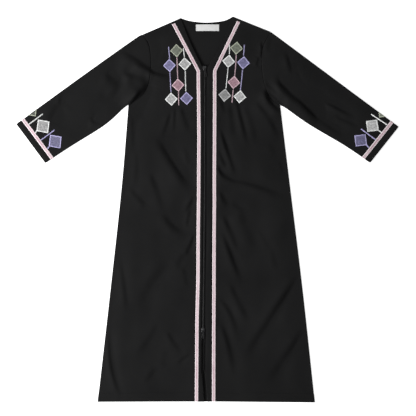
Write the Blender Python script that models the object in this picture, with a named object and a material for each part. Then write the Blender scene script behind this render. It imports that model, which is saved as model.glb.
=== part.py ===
"""A child's long abaya, lying flat on its back with the sleeves spread.

+X is the right-hand side as seen from above, +Y points to the neck and +Z up off the surface.
Left and right name the sides as seen from above. The origin is under the middle of the garment.
Every size is in millimetres, and MM turns it into metres where a mesh is made.
"""

import math

import bmesh
import bpy
import numpy as np

MM = 0.001
LEFT, RIGHT = 0, 1
SIDE_NAMES = ("left", "right")
OUTWARD = (-1.0, 1.0)

# Walls and the gaps between sewn pieces
CLOTH = 1.2
TAPE = 1.0
BRAID = 0.9
LABEL = 1.0
GAP = 0.3

# How the upper layer lies on the lower one
PUFF = 2.2
ROLL = 28.0
PLACKET_LIFT = 1.9
PLACKET_SPREAD = 36.0
STIFF_WIDTH = 12.0
STIFF_FADE = 26.0

# Places on the outline of each side: (left x, left y), (right x, right y)
PLACES = {
    "neck": ((-70, 497.5), (66, 501.5)),
    "seam top": ((-86.7, 490.2), (79, 495.8)),
    "shoulder": ((-168, 455), (164, 462)),
    "armhole high": ((-151, 425), (143, 420)),
    "armhole middle": ((-147, 372), (141, 366)),
    "armhole low": ((-154, 324), (151, 316)),
    "armhole turn": ((-172, 294), (166, 287)),
    "underarm": ((-205.5, 272), (189, 270.5)),
    "waist": ((-223, 61), (214.5, 61)),
    "hip": ((-252.5, -210), (247.5, -210)),
    "hem corner": ((-285.5, -500), (279, -501.5)),
    "sleeve high": ((-193.7, 440.5), (194, 440)),
    "sleeve middle": ((-345.7, 332.4), (344.2, 328.4)),
    "cuff high": ((-497, 222), (497, 215)),
    "cuff low": ((-421.5, 120.7), (422.6, 121.2)),
    "sleeve bend": ((-219.4, 262.2), (205, 262.3)),
    "sleeve low": ((-268, 219), (263.4, 221.2)),
    "sleeve under": ((-359, 161.7), (358, 165.1)),
    "neckline middle": ((-44, 432), (37, 431)),
}
BACK_NECK = ((-44, 489.7), (-3, 486), (42, 490.5))
HEM_AT_ZIP = -499.0

# The zip's centre line, and the pieces beside it as distances from that line
ZIP_LINE = ((-500, -12.7), (-313, -11.4), (25, -7.5), (500, -7.5))
SEAM_BEND = 361.0
EDGE_OFFSET = (4.6, 6.4)
ZIP_TOP = 367.0
ZIP_LOW = -313.0
TAPE_FAR = 15.0
TAPE_END = 375.0
COIL_HALF = 2.7
COIL_BELOW = 1.5
COIL_ABOVE = 0.9
COIL_IN_SLIDER = 2.8

# The seam between front and band: height y, then its distances on the left and right
SEAM_AWAY = (
    (-500, 10.9, 23.9),
    (-270, 10.8, 22.8),
    (-180, 9.6, 22.1),
    (-50, 10.5, 21.0),
    (80, 10.2, 20.6),
    (190, 9.5, 21.2),
    (280, 10.4, 21.5),
    (361, 11.4, 21.7),
)

# The slit below the lower slider: height y, then the inner edges of the left and right tape
SLIT = (
    (-500, 3.4, 11.4),
    (-453, -0.6, 8.0),
    (-415, -1.4, 1.4),
    (-360, -2.4, 1.6),
    (-330, -2.9, 2.2),
    (-319, -3.0, 3.0),
)

# Braid, cuffs and label
BRAID_WIDTH = 9.0
BRAID_START = 0.4
BRAID_TOP = 7.5
CUFF_STRIP = 17.0
CUFF_LIFT = 1.7
LABEL_SIZE = (60.0, 17.0)
LABEL_PLACE = (0.0, 472.5)

# Sliders and pulls
SLIDER_HALF = (4.2, 5.5)
SLIDER_PLATE = 0.9
SLIDER_FLANGE = 0.9
SLIDER_WAIST = 3.6
POST_HALF = 1.2
ARCH_HALF = 0.6
ARCH_REACH = 2.5
ARCH_WALL = 0.8
ARCH_ROOM = 1.9
PULL_LENGTH = 23.0
PULL_WALL = 1.0
PULL_HALF = 2.6
EYE_HALF = 1.4
EYE_LENGTH = 3.0
TOP_PULL_TURN = 10.0

# Rows and columns of the meshes
SEAM_ROWS = 40
BUST_ROWS = 5
NECK_ROWS = 7
PANEL_COLUMNS = 18
SLEEVE_STATIONS = 16

# The largest folds, each drawn downwards: start, middle, end, width and depth
FOLDS = (
    ((-126, 184), (-92, 124), (-34, 46), 20, 2.4),
    ((-150, 92), (-126, 28), (-112, -18), 22, 1.3),
    ((-118, -27), (-92, -53), (-44, -72), 18, 1.7),
    ((-204, 48), (-176, 14), (-145, -4), 18, 1.3),
    ((-196, 150), (-188, 110), (-187, 70), 18, 0.8),
    ((-106, -140), (-150, -200), (-184, -265), 24, 1.2),
    ((-263, -350), (-246, -430), (-214, -496), 18, 1.9),
    ((-129, -293), (-157, -332), (-184, -368), 20, 1.0),
    ((-98, 258), (-110, 217), (-126, 176), 16, 0.9),
    ((-106, -318), (-88, -344), (-68, -368), 18, 1.2),
    ((36, 196), (54, 150), (76, 86), 20, 1.9),
    ((24, 124), (44, 92), (78, 71), 18, 2.2),
    ((66, 75), (130, 60), (210, 30), 20, 1.8),
    ((62, 28), (98, -40), (131, -128), 22, 1.5),
    ((30, -14), (58, -74), (82, -120), 18, 1.9),
    ((32, -70), (68, -140), (90, -200), 18, 2.1),
    ((42, -170), (84, -248), (106, -292), 22, 1.2),
    ((248, -172), (167, -284), (98, -400), 24, 2.2),
    ((252, -316), (205, -390), (150, -464), 22, 1.7),
    ((35, -300), (63, -374), (83, -440), 20, 1.3),
    ((77, 264), (95, 207), (110, 160), 18, 1.0),
    ((25, -228), (56, -266), (76, -332), 18, 1.1),
    ((-240, 406), (-176, 376), (-104, 350), 20, 1.8),
    ((-212, 348), (-186, 341), (-158, 336), 18, 1.3),
    ((-152, 324), (-166, 286), (-203, 272), 16, 2.2),
    ((170, 342), (243, 277), (298, 218), 20, 2.3),
    ((224, 312), (272, 290), (378, 234), 18, 1.5),
    ((205, 402), (215, 363), (228, 330), 18, 1.2),
    ((148, 320), (162, 286), (186, 268), 16, 2.2),
)
RIDGE_PLACE, RIDGE_SPREAD, RIDGE_SHARE = -0.5, 0.42, 0.9
TROUGH_PLACE, TROUGH_SPREAD, TROUGH_SHARE = 0.28, 0.34, 0.8

# Finish of each kind of piece: colour, roughness, metallic
FINISHES = {
    "black crepe": ((0.012, 0.012, 0.013), 0.85, 0.0),
    "pink braid": ((0.72, 0.58, 0.63), 0.7, 0.0),
    "zip tape": ((0.010, 0.010, 0.011), 0.9, 0.0),
    "zip coil": ((0.03, 0.03, 0.032), 0.45, 0.0),
    "slider metal": ((0.03, 0.03, 0.032), 0.35, 0.5),
    "white label": ((0.85, 0.85, 0.85), 0.8, 0.0),
}


def place(name, side):
    """A place on the outline, as a 2D point."""
    return np.array(PLACES[name][side], float)


def zip_x(y):
    """Where the zip's centre line is at a height."""
    line = np.array(ZIP_LINE)
    return np.interp(y, line[:, 0], line[:, 1])


def evenly(points, steps):
    """The line through the points again, as steps + 1 points an equal length apart."""
    points = np.asarray(points, float)
    lengths = np.linalg.norm(np.diff(points, axis=0), axis=1)
    along = np.concatenate([[0.0], np.cumsum(lengths)])
    at = np.linspace(0.0, along[-1], steps + 1)
    return np.stack([np.interp(at, along, points[:, k]) for k in range(2)], axis=1)


def smooth_line(points, steps, fine=24):
    """A Catmull-Rom curve through the points, as steps + 1 points an equal length apart."""
    points = np.asarray(points, float)
    padded = np.vstack([2 * points[0] - points[1], points, 2 * points[-1] - points[-2]])
    t = np.linspace(0.0, 1.0, fine, endpoint=False)[:, None]
    pieces = []
    for a, b, c, d in zip(padded, padded[1:], padded[2:], padded[3:]):
        cubic = -a + 3 * b - 3 * c + d
        square = 2 * a - 5 * b + 4 * c - d
        pieces.append(0.5 * (2 * b + (c - a) * t + square * t**2 + cubic * t**3))
    return evenly(np.vstack([*pieces, points[-1:]]), steps)


def moved_sideways(line, distance):
    """A line moved to the left of its own direction, point by point."""
    along = np.gradient(line, axis=0)
    along /= np.linalg.norm(along, axis=1)[:, None]
    return line + distance * np.stack([-along[:, 1], along[:, 0]], axis=1)


def distance_to(points, line):
    """For each point: its signed distance to a line of points and how far along, 0 to 1, it is."""
    best = np.full(points.shape[:-1], np.inf)
    signed = np.zeros_like(best)
    share = np.zeros_like(best)
    spans = len(line) - 1
    for i, (a, b) in enumerate(zip(line[:-1], line[1:])):
        run = b - a
        t = np.clip(((points - a) @ run) / max(run @ run, 1e-9), 0.0, 1.0)
        away = points - a - t[..., None] * run
        far = np.linalg.norm(away, axis=-1)
        nearer = far < best
        best = np.where(nearer, far, best)
        side = np.sign(run[0] * away[..., 1] - run[1] * away[..., 0])
        signed = np.where(nearer, far * side, signed)
        share = np.where(nearer, (i + t) / spans, share)
    return signed, share


def smoothstep(t):
    t = np.clip(t, 0.0, 1.0)
    return t * t * (3.0 - 2.0 * t)


def armhole(side):
    """The armhole seam, from the underarm up to the shoulder."""
    names = ("underarm", "armhole turn", "armhole low", "armhole middle", "armhole high", "shoulder")
    return smooth_line([place(name, side) for name in names], BUST_ROWS + NECK_ROWS)


def side_seam(side):
    """The side seam, from the hem up to the underarm."""
    names = ("hem corner", "hip", "waist", "underarm")
    return smooth_line([place(name, side) for name in names], SEAM_ROWS)


def sleeve_upper_edge(side, start, steps):
    names = ("sleeve high", "sleeve middle", "cuff high")
    return smooth_line([start, *(place(name, side) for name in names)], steps)


def sleeve_lower_edge(side, start, steps):
    names = ("sleeve bend", "sleeve low", "sleeve under", "cuff low")
    return smooth_line([start, *(place(name, side) for name in names)], steps)


def centre_heights(bend=ZIP_TOP):
    """The heights of the rows beside the zip, from the hem up to where a line bends into the V."""
    bust = PLACES["underarm"][LEFT][1]
    low = np.linspace(HEM_AT_ZIP, bust, SEAM_ROWS + 1)
    return np.concatenate([low, np.linspace(bust, bend, BUST_ROWS + 1)[1:]])


def front_line(side, heights, away, neck_points):
    """A line at distances from the zip's line, which then bends and runs up beside the V neck."""
    straight = np.stack([zip_x(heights) + OUTWARD[side] * away, heights], axis=1)
    slant = smooth_line([straight[-1], *neck_points], NECK_ROWS)
    return np.vstack([straight, slant[1:]])


def band_seam(side):
    """The seam between front and band."""
    heights = centre_heights(SEAM_BEND)
    seam = np.array(SEAM_AWAY)
    away = np.interp(heights, seam[:, 0], seam[:, 1 + side])
    return front_line(side, heights, away, [place("seam top", side)])


def band_edge(side):
    """The free edge of the band, which the slit's right-hand edge pushes aside near the hem."""
    neck_points = [place("neckline middle", side), place("neck", side)]
    line = front_line(side, centre_heights(), EDGE_OFFSET[side], neck_points)
    if side == RIGHT:
        slit = np.array(SLIT)
        tape = zip_x(line[:, 1]) + np.interp(line[:, 1], slit[:, 0], slit[:, 2])
        below = line[:, 1] < ZIP_LOW
        line[below, 0] = np.maximum(line[below, 0], tape[below] + GAP)
    return line


def outline(side):
    """The garment's outer edge on one side, from the middle of the hem round to the neck."""
    hem = np.array([[zip_x(HEM_AT_ZIP), HEM_AT_ZIP]])
    low = sleeve_lower_edge(side, place("underarm", side), 8)
    high = sleeve_upper_edge(side, place("shoulder", side), 8)[::-1]
    return np.vstack([hem, side_seam(side)[::4], low[1:], high, [place("neck", side)]])


OUTLINES = [outline(side) for side in (LEFT, RIGHT)]
BAND_SEAMS = [band_seam(side) for side in (LEFT, RIGHT)]


def fold_height(points, start, middle, end, width, depth):
    """A settled fold along a curved line: a low ridge on its left-hand side as the garment is seen,
    and close beside it a steeper fall into a trough. Both fade out at the ends."""
    t = np.linspace(0.0, 1.0, 13)[:, None]
    start, middle, end = (np.array(p, float) for p in (start, middle, end))
    line = start * (1 - t) * (1 - 2 * t) + middle * 4 * t * (1 - t) + end * t * (2 * t - 1)
    away, along = distance_to(points, line)
    across = away / width
    ridge = RIDGE_SHARE * np.exp(-(((across - RIDGE_PLACE) / RIDGE_SPREAD) ** 2))
    trough = TROUGH_SHARE * np.exp(-(((across - TROUGH_PLACE) / TROUGH_SPREAD) ** 2))
    fade = smoothstep(along / 0.25) * smoothstep((1 - along) / 0.35)
    return depth * fade * (ridge - trough)


def underside(points):
    """The height of the upper layer's underside: low along the outline, puffed up inside it,
    lifted along the zip's placket, and creased."""
    points = np.asarray(points, float)
    edge = np.min([np.abs(distance_to(points, line)[0]) for line in OUTLINES], axis=0)
    height = PUFF * (1.0 - np.exp(-((edge / ROLL) ** 2)))
    stiff = np.min([np.abs(distance_to(points, line)[0]) for line in BAND_SEAMS], axis=0)
    soft = smoothstep((stiff - STIFF_WIDTH) / STIFF_FADE)
    for fold in FOLDS:
        height = height + soft * fold_height(points, *fold)
    beside = (points[..., 0] - zip_x(points[..., 1])) / PLACKET_SPREAD
    height = height + PLACKET_LIFT * np.exp(-(beside**2))
    return CLOTH + GAP + np.maximum(height, 0.0)


def finish(name):
    """The material of that name, made once."""
    if name not in bpy.data.materials:
        colour, roughness, metallic = FINISHES[name]
        material = bpy.data.materials.new(name)
        material.use_nodes = True
        shader = material.node_tree.nodes["Principled BSDF"]
        shader.inputs["Base Color"].default_value = (*colour, 1.0)
        shader.inputs["Roughness"].default_value = roughness
        shader.inputs["Metallic"].default_value = metallic
        material.diffuse_color = (*colour, 1.0)
    return bpy.data.materials[name]


def add(name, mesh, material, collection="abaya"):
    """A new object in one of the two collections."""
    mesh.name = name
    thing = bpy.data.objects.new(name, mesh)
    thing.data.materials.append(finish(material))
    bpy.data.collections[collection].objects.link(thing)
    return thing


def from_bmesh(name, shape, material, collection="abaya"):
    bmesh.ops.triangulate(shape, faces=shape.faces[:], quad_method="FIXED")
    bmesh.ops.recalc_face_normals(shape, faces=shape.faces[:])
    mesh = bpy.data.meshes.new(name)
    shape.to_mesh(mesh)
    shape.free()
    return add(name, mesh, material, collection)


def sheet(name, grid, wall, material):
    """A wall of cloth: a grid of points, its underside, extruded straight up."""
    rows, columns = grid.shape[:2]
    shape = bmesh.new()
    vertices = [shape.verts.new(p * MM) for p in grid.reshape(-1, 3)]
    for i in range(rows - 1):
        for j in range(columns - 1):
            corner = i * columns + j
            around = (corner, corner + columns, corner + columns + 1, corner + 1)
            shape.faces.new([vertices[k] for k in around])
    lifted = bmesh.ops.extrude_face_region(shape, geom=shape.faces[:], use_keep_orig=True)
    upper = [v for v in lifted["geom"] if isinstance(v, bmesh.types.BMVert)]
    bmesh.ops.translate(shape, verts=upper, vec=(0, 0, wall * MM))
    return from_bmesh(name, shape, material)


def ring_wall(name, grid, material):
    """A tube wall: a grid of points that closes on itself round the tube and through its wall."""
    around, through = grid.shape[:2]
    shape = bmesh.new()
    vertices = [shape.verts.new(p * MM) for p in grid.reshape(-1, 3)]
    for i in range(around):
        for j in range(through):
            after_i = (i + 1) % around
            after_j = (j + 1) % through
            corners = ((i, j), (i, after_j), (after_i, after_j), (after_i, j))
            shape.faces.new([vertices[a * through + b] for a, b in corners])
    return from_bmesh(name, shape, material)


def on_heights(plan, heights):
    """Plan points and their heights, as 3D points."""
    return np.concatenate([plan, np.broadcast_to(heights, plan.shape[:2])[..., None]], axis=2)


def panel_grid(side):
    """The underside of a front panel, and the grid column at the braid's outer edge."""
    seam = band_seam(side)
    outer = np.vstack([side_seam(side), armhole(side)[1:]])
    across = outer - seam
    width = np.linalg.norm(across, axis=1)[:, None]
    edge = (BRAID_START + BRAID_WIDTH + GAP) / width
    shares = [np.full_like(edge, GAP) / width, edge]
    for k in range(1, PANEL_COLUMNS + 1):
        shares.append(edge + (1.0 - edge) * k / PANEL_COLUMNS)
    plan = np.stack([seam + across * share for share in shares], axis=1)
    return on_heights(plan, underside(plan))


def braid_grid(panel):
    """The braid's underside, made from the panel's first two columns moved up."""
    run = panel[:, 1] - panel[:, 0]
    width = np.linalg.norm(run[:, :2], axis=1)[:, None]
    start = panel[:, 0] + run * (BRAID_START - GAP) / width
    end = start + run * BRAID_WIDTH / width
    grid = np.stack([start, end], axis=1)
    last = grid[-1] - grid[-2]
    grid[-1] -= last * BRAID_TOP / np.linalg.norm(last[:, :2], axis=1)[:, None]
    grid[..., 2] += CLOTH + GAP
    return grid


def band_grid(side):
    """The band's underside, between the seam and its free edge."""
    seam, edge = band_seam(side), band_edge(side)
    plan = np.stack([seam, 0.5 * (seam + edge), edge], axis=1)
    return on_heights(plan, underside(plan))


def zip_rows(lowest, highest):
    """The heights of the mesh rows between two heights, with those two as the ends."""
    rows = centre_heights()
    inside = rows[(rows > lowest + 1.0) & (rows < highest - 1.0)]
    return np.concatenate([[lowest], inside, [highest]])


def tape_grid(side):
    """The tape's underside: it hangs from the band and the front's edge."""
    y = zip_rows(HEM_AT_ZIP, TAPE_END)
    slit = np.array(SLIT)
    inner = zip_x(y) + np.interp(y, slit[:, 0], slit[:, 1 + side])
    outer = zip_x(y) + OUTWARD[side] * TAPE_FAR
    plan = np.stack([np.stack([x, y], axis=1) for x in (inner, outer)], axis=1)
    return on_heights(plan, underside(plan) - GAP - TAPE)


def coil_grid():
    """The underside of the closed coil, between the two sliders."""
    y = zip_rows(ZIP_LOW - COIL_IN_SLIDER, ZIP_TOP + COIL_IN_SLIDER)
    columns = [np.stack([zip_x(y) + k * COIL_HALF, y], axis=1) for k in (-1, 1)]
    plan = np.stack(columns, axis=1)
    middle = underside(np.stack([zip_x(y), y], axis=1))[:, None]
    return on_heights(plan, np.repeat(middle, 2, axis=1) - COIL_BELOW)


def sleeve_plan(side):
    """The sleeve in plan: stations from the armhole to the cuff, each a line of points from its
    upper folded edge to the seam under the arm. The armhole end is the armhole, moved clear."""
    head = moved_sideways(armhole(side)[::-1], GAP * OUTWARD[side])
    count = len(head) - 1
    cuff = evenly([place("cuff high", side), place("cuff low", side)], count)
    upper = sleeve_upper_edge(side, head[0], SLEEVE_STATIONS)
    lower = sleeve_lower_edge(side, head[-1], SLEEVE_STATIONS)
    v = np.linspace(0.0, 1.0, count + 1)[:, None]
    bow = head - ((1 - v) * head[0] + v * head[-1])
    stations = []
    for k in range(SLEEVE_STATIONS - 1):
        still_bowed = (1 - k / SLEEVE_STATIONS) ** 3
        stations.append((1 - v) * upper[k] + v * lower[k] + still_bowed * bow)
    inward = stations[-1] - cuff
    inward /= np.linalg.norm(inward, axis=1)[:, None]
    for inset in (CUFF_STRIP + BRAID_WIDTH, CUFF_STRIP, 0.0):
        stations.append(cuff + inset * inward)
    return np.array(stations)


def sleeve_levels(plan):
    """The outer heights of a sleeve's lower and upper layer over its plan."""
    share = np.linspace(0.0, 1.0, len(plan))[:, None]
    lower = CUFF_LIFT * smoothstep((share - 0.55) / 0.25) * np.ones(plan.shape[:2])
    upper = np.maximum(underside(plan) + CLOTH, 2 * CLOTH + 0.8) + lower
    return lower, upper


def with_rounded_edges(plan, nose, shoulder):
    """The stations' points, with a nose at each folded edge and a shoulder just inside it."""
    def inside(a, b, distance):
        run = b - a
        return a + run * distance / np.linalg.norm(run, axis=1)[:, None]

    first = [inside(plan[:, 0], plan[:, 1], d) for d in (nose, shoulder)]
    last = [inside(plan[:, -1], plan[:, -2], d) for d in (shoulder, nose)]
    columns = [*first, *(plan[:, k] for k in range(1, plan.shape[1] - 1)), *last]
    return np.stack(columns, axis=1)


def sleeve_ring(plan, nose, shoulder, inset):
    """The loops round a flattened sleeve: over its upper layer and back under its lower one."""
    wide = with_rounded_edges(plan, nose, shoulder)
    lower, upper = sleeve_levels(wide)
    lower, upper = lower + inset, upper - inset
    middle = 0.5 * (lower + upper)
    over = on_heights(wide, upper)
    over[:, 0, 2] = middle[:, 0]
    over[:, -1, 2] = middle[:, -1]
    under = on_heights(wide, lower)[:, 1:-1][:, ::-1]
    return np.concatenate([over, under], axis=1)


def make_sleeve(side):
    """One sleeve and the braid round its cuff."""
    plan = sleeve_plan(side)
    outer = sleeve_ring(plan, 0.0, 3.0, 0.0)
    inner = sleeve_ring(plan, 2.2, 4.5, CLOTH)
    wall = np.concatenate([outer, inner[::-1]], axis=0)
    ring_wall(f"sleeve_{SIDE_NAMES[side]}", wall.transpose(1, 0, 2), "black crepe")
    inside = sleeve_ring(plan, -GAP, 3.0, -GAP)[-3:-1]
    outside = sleeve_ring(plan, -GAP - BRAID, 3.0, -GAP - BRAID)[-3:-1]
    loops = np.concatenate([inside, outside[::-1]], axis=0)
    ring_wall(f"cuff_braid_{SIDE_NAMES[side]}", loops.transpose(1, 0, 2), "pink braid")


def make_back():
    """The back panel: one flat outline, filled and given its thickness."""
    halves = []
    for side in (LEFT, RIGHT):
        hem = np.array([[zip_x(HEM_AT_ZIP), HEM_AT_ZIP]])
        edge = [side_seam(side), armhole(side)[1:], [place("neck", side)]]
        halves.append(np.vstack([hem[side:], *edge]))
    neck = smooth_line([place("neck", LEFT), *BACK_NECK, place("neck", RIGHT)], 10)[1:-1]
    border = np.vstack([halves[LEFT], neck, halves[RIGHT][::-1]])
    shape = bmesh.new()
    face = shape.faces.new([shape.verts.new((*(p * MM), 0.0)) for p in border])
    lifted = bmesh.ops.extrude_face_region(shape, geom=[face], use_keep_orig=True)
    upper = [v for v in lifted["geom"] if isinstance(v, bmesh.types.BMVert)]
    bmesh.ops.translate(shape, verts=upper, vec=(0, 0, CLOTH * MM))
    from_bmesh("back", shape, "black crepe")


def make_front(side):
    """One front panel, its band, the braid over their seam and the zip tape under them."""
    name = SIDE_NAMES[side]
    panel = panel_grid(side)
    sheet(f"front_{name}", panel, CLOTH, "black crepe")
    sheet(f"braid_{name}", braid_grid(panel), BRAID, "pink braid")
    sheet(f"band_{name}", band_grid(side), CLOTH, "black crepe")
    sheet(f"zip_tape_{name}", tape_grid(side), TAPE, "zip tape")


def make_label():
    """The neck label, a bare woven tab on the inside of the back."""
    shape = bmesh.new()
    bmesh.ops.create_cube(shape, size=MM)
    bmesh.ops.scale(shape, verts=shape.verts[:], vec=(*LABEL_SIZE, LABEL))
    middle = (*LABEL_PLACE, CLOTH + GAP + 0.5 * LABEL)
    bmesh.ops.translate(shape, verts=shape.verts[:], vec=[MM * k for k in middle])
    from_bmesh("label", shape, "white label")


def prism(name, corners, axis, start, end, collection="abaya"):
    """An outline in the plane across an axis, X or Y or Z, pushed from start to end along it."""
    others = [k for k in range(3) if k != axis]
    shape = bmesh.new()
    vertices = []
    for corner in corners:
        point = [0.0, 0.0, 0.0]
        point[axis] = start * MM
        point[others[0]], point[others[1]] = corner[0] * MM, corner[1] * MM
        vertices.append(shape.verts.new(point))
    face = shape.faces.new(vertices)
    pushed = bmesh.ops.extrude_face_region(shape, geom=[face], use_keep_orig=True)
    moved = [v for v in pushed["geom"] if isinstance(v, bmesh.types.BMVert)]
    push = [0.0, 0.0, 0.0]
    push[axis] = (end - start) * MM
    bmesh.ops.translate(shape, verts=moved, vec=push)
    return from_bmesh(name, shape, "slider metal", collection)


def join(base, tool, operation):
    """Adds a tool to a piece, or cuts it away, with a Boolean modifier."""
    modifier = base.modifiers.new(tool.name, "BOOLEAN")
    modifier.operation = operation
    modifier.object = tool
    tool.hide_render = True
    tool.display_type = "WIRE"


def make_slider(name, y, front):
    """A slider: a top plate with two flanges, a bottom plate, the post between them at its front
    end, and the arch that holds the pull. front is 1 where the front end points to the neck."""
    x = float(zip_x(y))
    level = float(underside(np.array([[x, y]]))[0])
    half, long = SLIDER_HALF
    below = -COIL_BELOW - GAP
    above = COIL_ABOVE + GAP
    top = above + SLIDER_PLATE
    inside = half - SLIDER_FLANGE
    section = (
        (-half, 0.1), (-inside, 0.1), (-inside, above), (inside, above),
        (inside, 0.1), (half, 0.1), (half, top - 0.3), (half - 0.3, top),
        (0.3 - half, top), (-half, top - 0.3),
    )
    body = prism(name, section, 1, -long, long)
    waist = SLIDER_WAIST
    plan = (
        (-half, front * long), (-half, 0.0), (-waist, -front * long),
        (waist, -front * long), (half, 0.0), (half, front * long),
    )
    parts = [prism(f"{name} bottom", plan, 2, below - SLIDER_PLATE, below, "cutters")]
    post = [(a * POST_HALF, front * b) for a, b in ((-1, 3.4), (1, 3.4), (1, 5.2), (-1, 5.2))]
    parts.append(prism(f"{name} post", post, 2, below - 0.4, above + 0.4, "cutters"))
    reach, wall, crown = ARCH_REACH, ARCH_WALL, top + ARCH_ROOM
    arch = (
        (-reach, top - 0.3), (wall - reach, top - 0.3), (wall - reach, crown),
        (reach - wall, crown), (reach - wall, top - 0.3), (reach, top - 0.3),
        (reach, crown + 0.4), (reach - 0.5, crown + wall),
        (0.5 - reach, crown + wall), (-reach, crown + 0.4),
    )
    parts.append(prism(f"{name} arch", arch, 0, -ARCH_HALF, ARCH_HALF, "cutters"))
    for part in parts:
        join(body, part, "UNION")
    for thing in (body, *parts):
        thing.location = (x * MM, y * MM, level * MM)
    return x, level + top + 0.5 * ARCH_ROOM


def make_pull(name, x, y, z, turn):
    """A pull tab with its origin on its hinge axis, lying towards the hem and turned in plan by
    some degrees. Its eye goes round a leg of the slider's arch."""
    half, eye = PULL_HALF, EYE_HALF
    bar = 0.5 * PULL_WALL
    low = -bar - EYE_LENGTH
    border = (
        (half - 0.2, bar), (0.2 - half, bar), (-half, 0.0), (-half, low - 1.2),
        (0.4 - half, low - 4.0), (-half, -PULL_LENGTH + 3.0), (-half, -PULL_LENGTH + 1.2),
        (1.2 - half, -PULL_LENGTH), (half - 1.2, -PULL_LENGTH), (half, -PULL_LENGTH + 1.2),
        (half, -PULL_LENGTH + 3.0), (half - 0.4, low - 4.0), (half, low - 1.2), (half, 0.0),
    )
    window = ((-eye, -bar), (-eye, low), (eye, low), (eye, -bar))
    tab = prism(name, border, 2, -bar, bar)
    hole = prism(f"{name} eye", window, 2, -2 * bar, 2 * bar, "cutters")
    join(tab, hole, "DIFFERENCE")
    for thing in (tab, hole):
        thing.location = (x * MM, y * MM, z * MM)
        thing.rotation_euler = (0.0, 0.0, math.radians(turn))


def main():
    for thing in list(bpy.data.objects):
        bpy.data.objects.remove(thing)
    for name in ("abaya", "cutters"):
        bpy.context.scene.collection.children.link(bpy.data.collections.new(name))
    make_back()
    for side in (LEFT, RIGHT):
        make_front(side)
        make_sleeve(side)
    make_label()
    sheet("zip_coil", coil_grid(), COIL_BELOW + COIL_ABOVE, "zip coil")
    for name, y, front, turn in (("top", ZIP_TOP, 1, TOP_PULL_TURN), ("low", ZIP_LOW, -1, 0.0)):
        x, z = make_slider(f"slider_{name}", y, front)
        make_pull(f"pull_{name}", x, y, z, turn)


main()
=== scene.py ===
"""The looks of a child's long abaya that lies flat: black crepe, pink braid, a two-way zip and embroidery.

+X is the right-hand side as seen from above, +Y points to the neck and +Z up off the surface.
Sizes are in millimetres, and MM turns them into metres where a mesh is made.
"""

import bmesh
import bpy
import numpy as np
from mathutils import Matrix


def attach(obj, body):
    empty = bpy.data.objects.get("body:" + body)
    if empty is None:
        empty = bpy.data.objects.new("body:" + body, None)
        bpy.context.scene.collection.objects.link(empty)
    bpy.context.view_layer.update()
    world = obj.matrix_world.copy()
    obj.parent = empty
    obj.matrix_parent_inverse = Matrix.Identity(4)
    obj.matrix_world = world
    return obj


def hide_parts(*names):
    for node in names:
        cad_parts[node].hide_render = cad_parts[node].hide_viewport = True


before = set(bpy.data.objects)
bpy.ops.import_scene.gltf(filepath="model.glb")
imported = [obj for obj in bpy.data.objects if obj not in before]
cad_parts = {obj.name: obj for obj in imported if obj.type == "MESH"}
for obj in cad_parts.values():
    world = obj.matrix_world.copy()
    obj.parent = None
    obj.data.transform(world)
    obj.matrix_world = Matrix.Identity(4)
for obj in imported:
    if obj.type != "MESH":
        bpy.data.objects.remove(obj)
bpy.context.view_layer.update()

# The cut
# The garment is a flared T of two fronts, a one-piece back and two set-in sleeves, spread flat on its back.
# These are the lines that its pieces are cut to and sewn along.

MM = 0.001
LEFT, RIGHT = 0, 1
SIDES = ("left", "right")
OUTWARD = (-1.0, 1.0)
GAP = 0.3

# Rows of cloth along the side seam, from the underarm up to the zip's top, and beside the V neck; and how
# many times finer the cloth's own rows are
SEAM_ROWS, BUST_ROWS, NECK_ROWS = 40, 5, 7
FINE = 7

PLACES = {
    "neck": ((-70, 497.5), (66, 501.5)),
    "seam top": ((-86.7, 490.2), (79, 495.8)),
    "shoulder": ((-168, 455), (164, 462)),
    "armhole high": ((-151, 425), (143, 420)),
    "armhole middle": ((-147, 372), (141, 366)),
    "armhole low": ((-154, 324), (151, 316)),
    "armhole turn": ((-172, 294), (166, 287)),
    "underarm": ((-205.5, 272), (189, 270.5)),
    "waist": ((-223, 61), (214.5, 61)),
    "hip": ((-252.5, -210), (247.5, -210)),
    "hem corner": ((-285.5, -500), (279, -501.5)),
    "sleeve high": ((-193.7, 440.5), (194, 440)),
    "sleeve middle": ((-345.7, 332.4), (344.2, 328.4)),
    "cuff high": ((-497, 222), (497, 215)),
    "cuff low": ((-421.5, 120.7), (422.6, 121.2)),
    "sleeve bend": ((-219.4, 262.2), (205, 262.3)),
    "sleeve low": ((-268, 219), (263.4, 221.2)),
    "sleeve under": ((-359, 161.7), (358, 165.1)),
    "neckline middle": ((-44, 432), (37, 431)),
}
BACK_NECK = ((-44, 489.7), (-3, 486), (42, 490.5))
HEM_AT_ZIP = -499.0

# The zip's centre line: height and place across
ZIP_LINE = np.array(((-500, -12.7), (-313, -11.4), (25, -7.5), (500, -7.5)))
ZIP_TOP = 367.0
ZIP_LOW = -313.0

# Where the band's seam bends into the V, and how far each band's free edge is from the zip's line
SEAM_BEND = 361.0
EDGE_OFFSET = (4.6, 6.4)

# Where the left band starts to lie out over its open tape, and over what height it does so
SLIT_WIDENS = -410.0
SLIT_FADE = 35.0

# The seam between front and band beside the zip's line: height, then its distances on the left and right
SEAM_AWAY = np.array(
    (
        (-500, 10.9, 23.9),
        (-270, 10.8, 22.8),
        (-180, 9.6, 22.1),
        (-50, 10.5, 21.0),
        (80, 10.2, 20.6),
        (190, 9.5, 21.2),
        (280, 10.4, 21.5),
        (361, 11.4, 21.7),
    )
)

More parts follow.
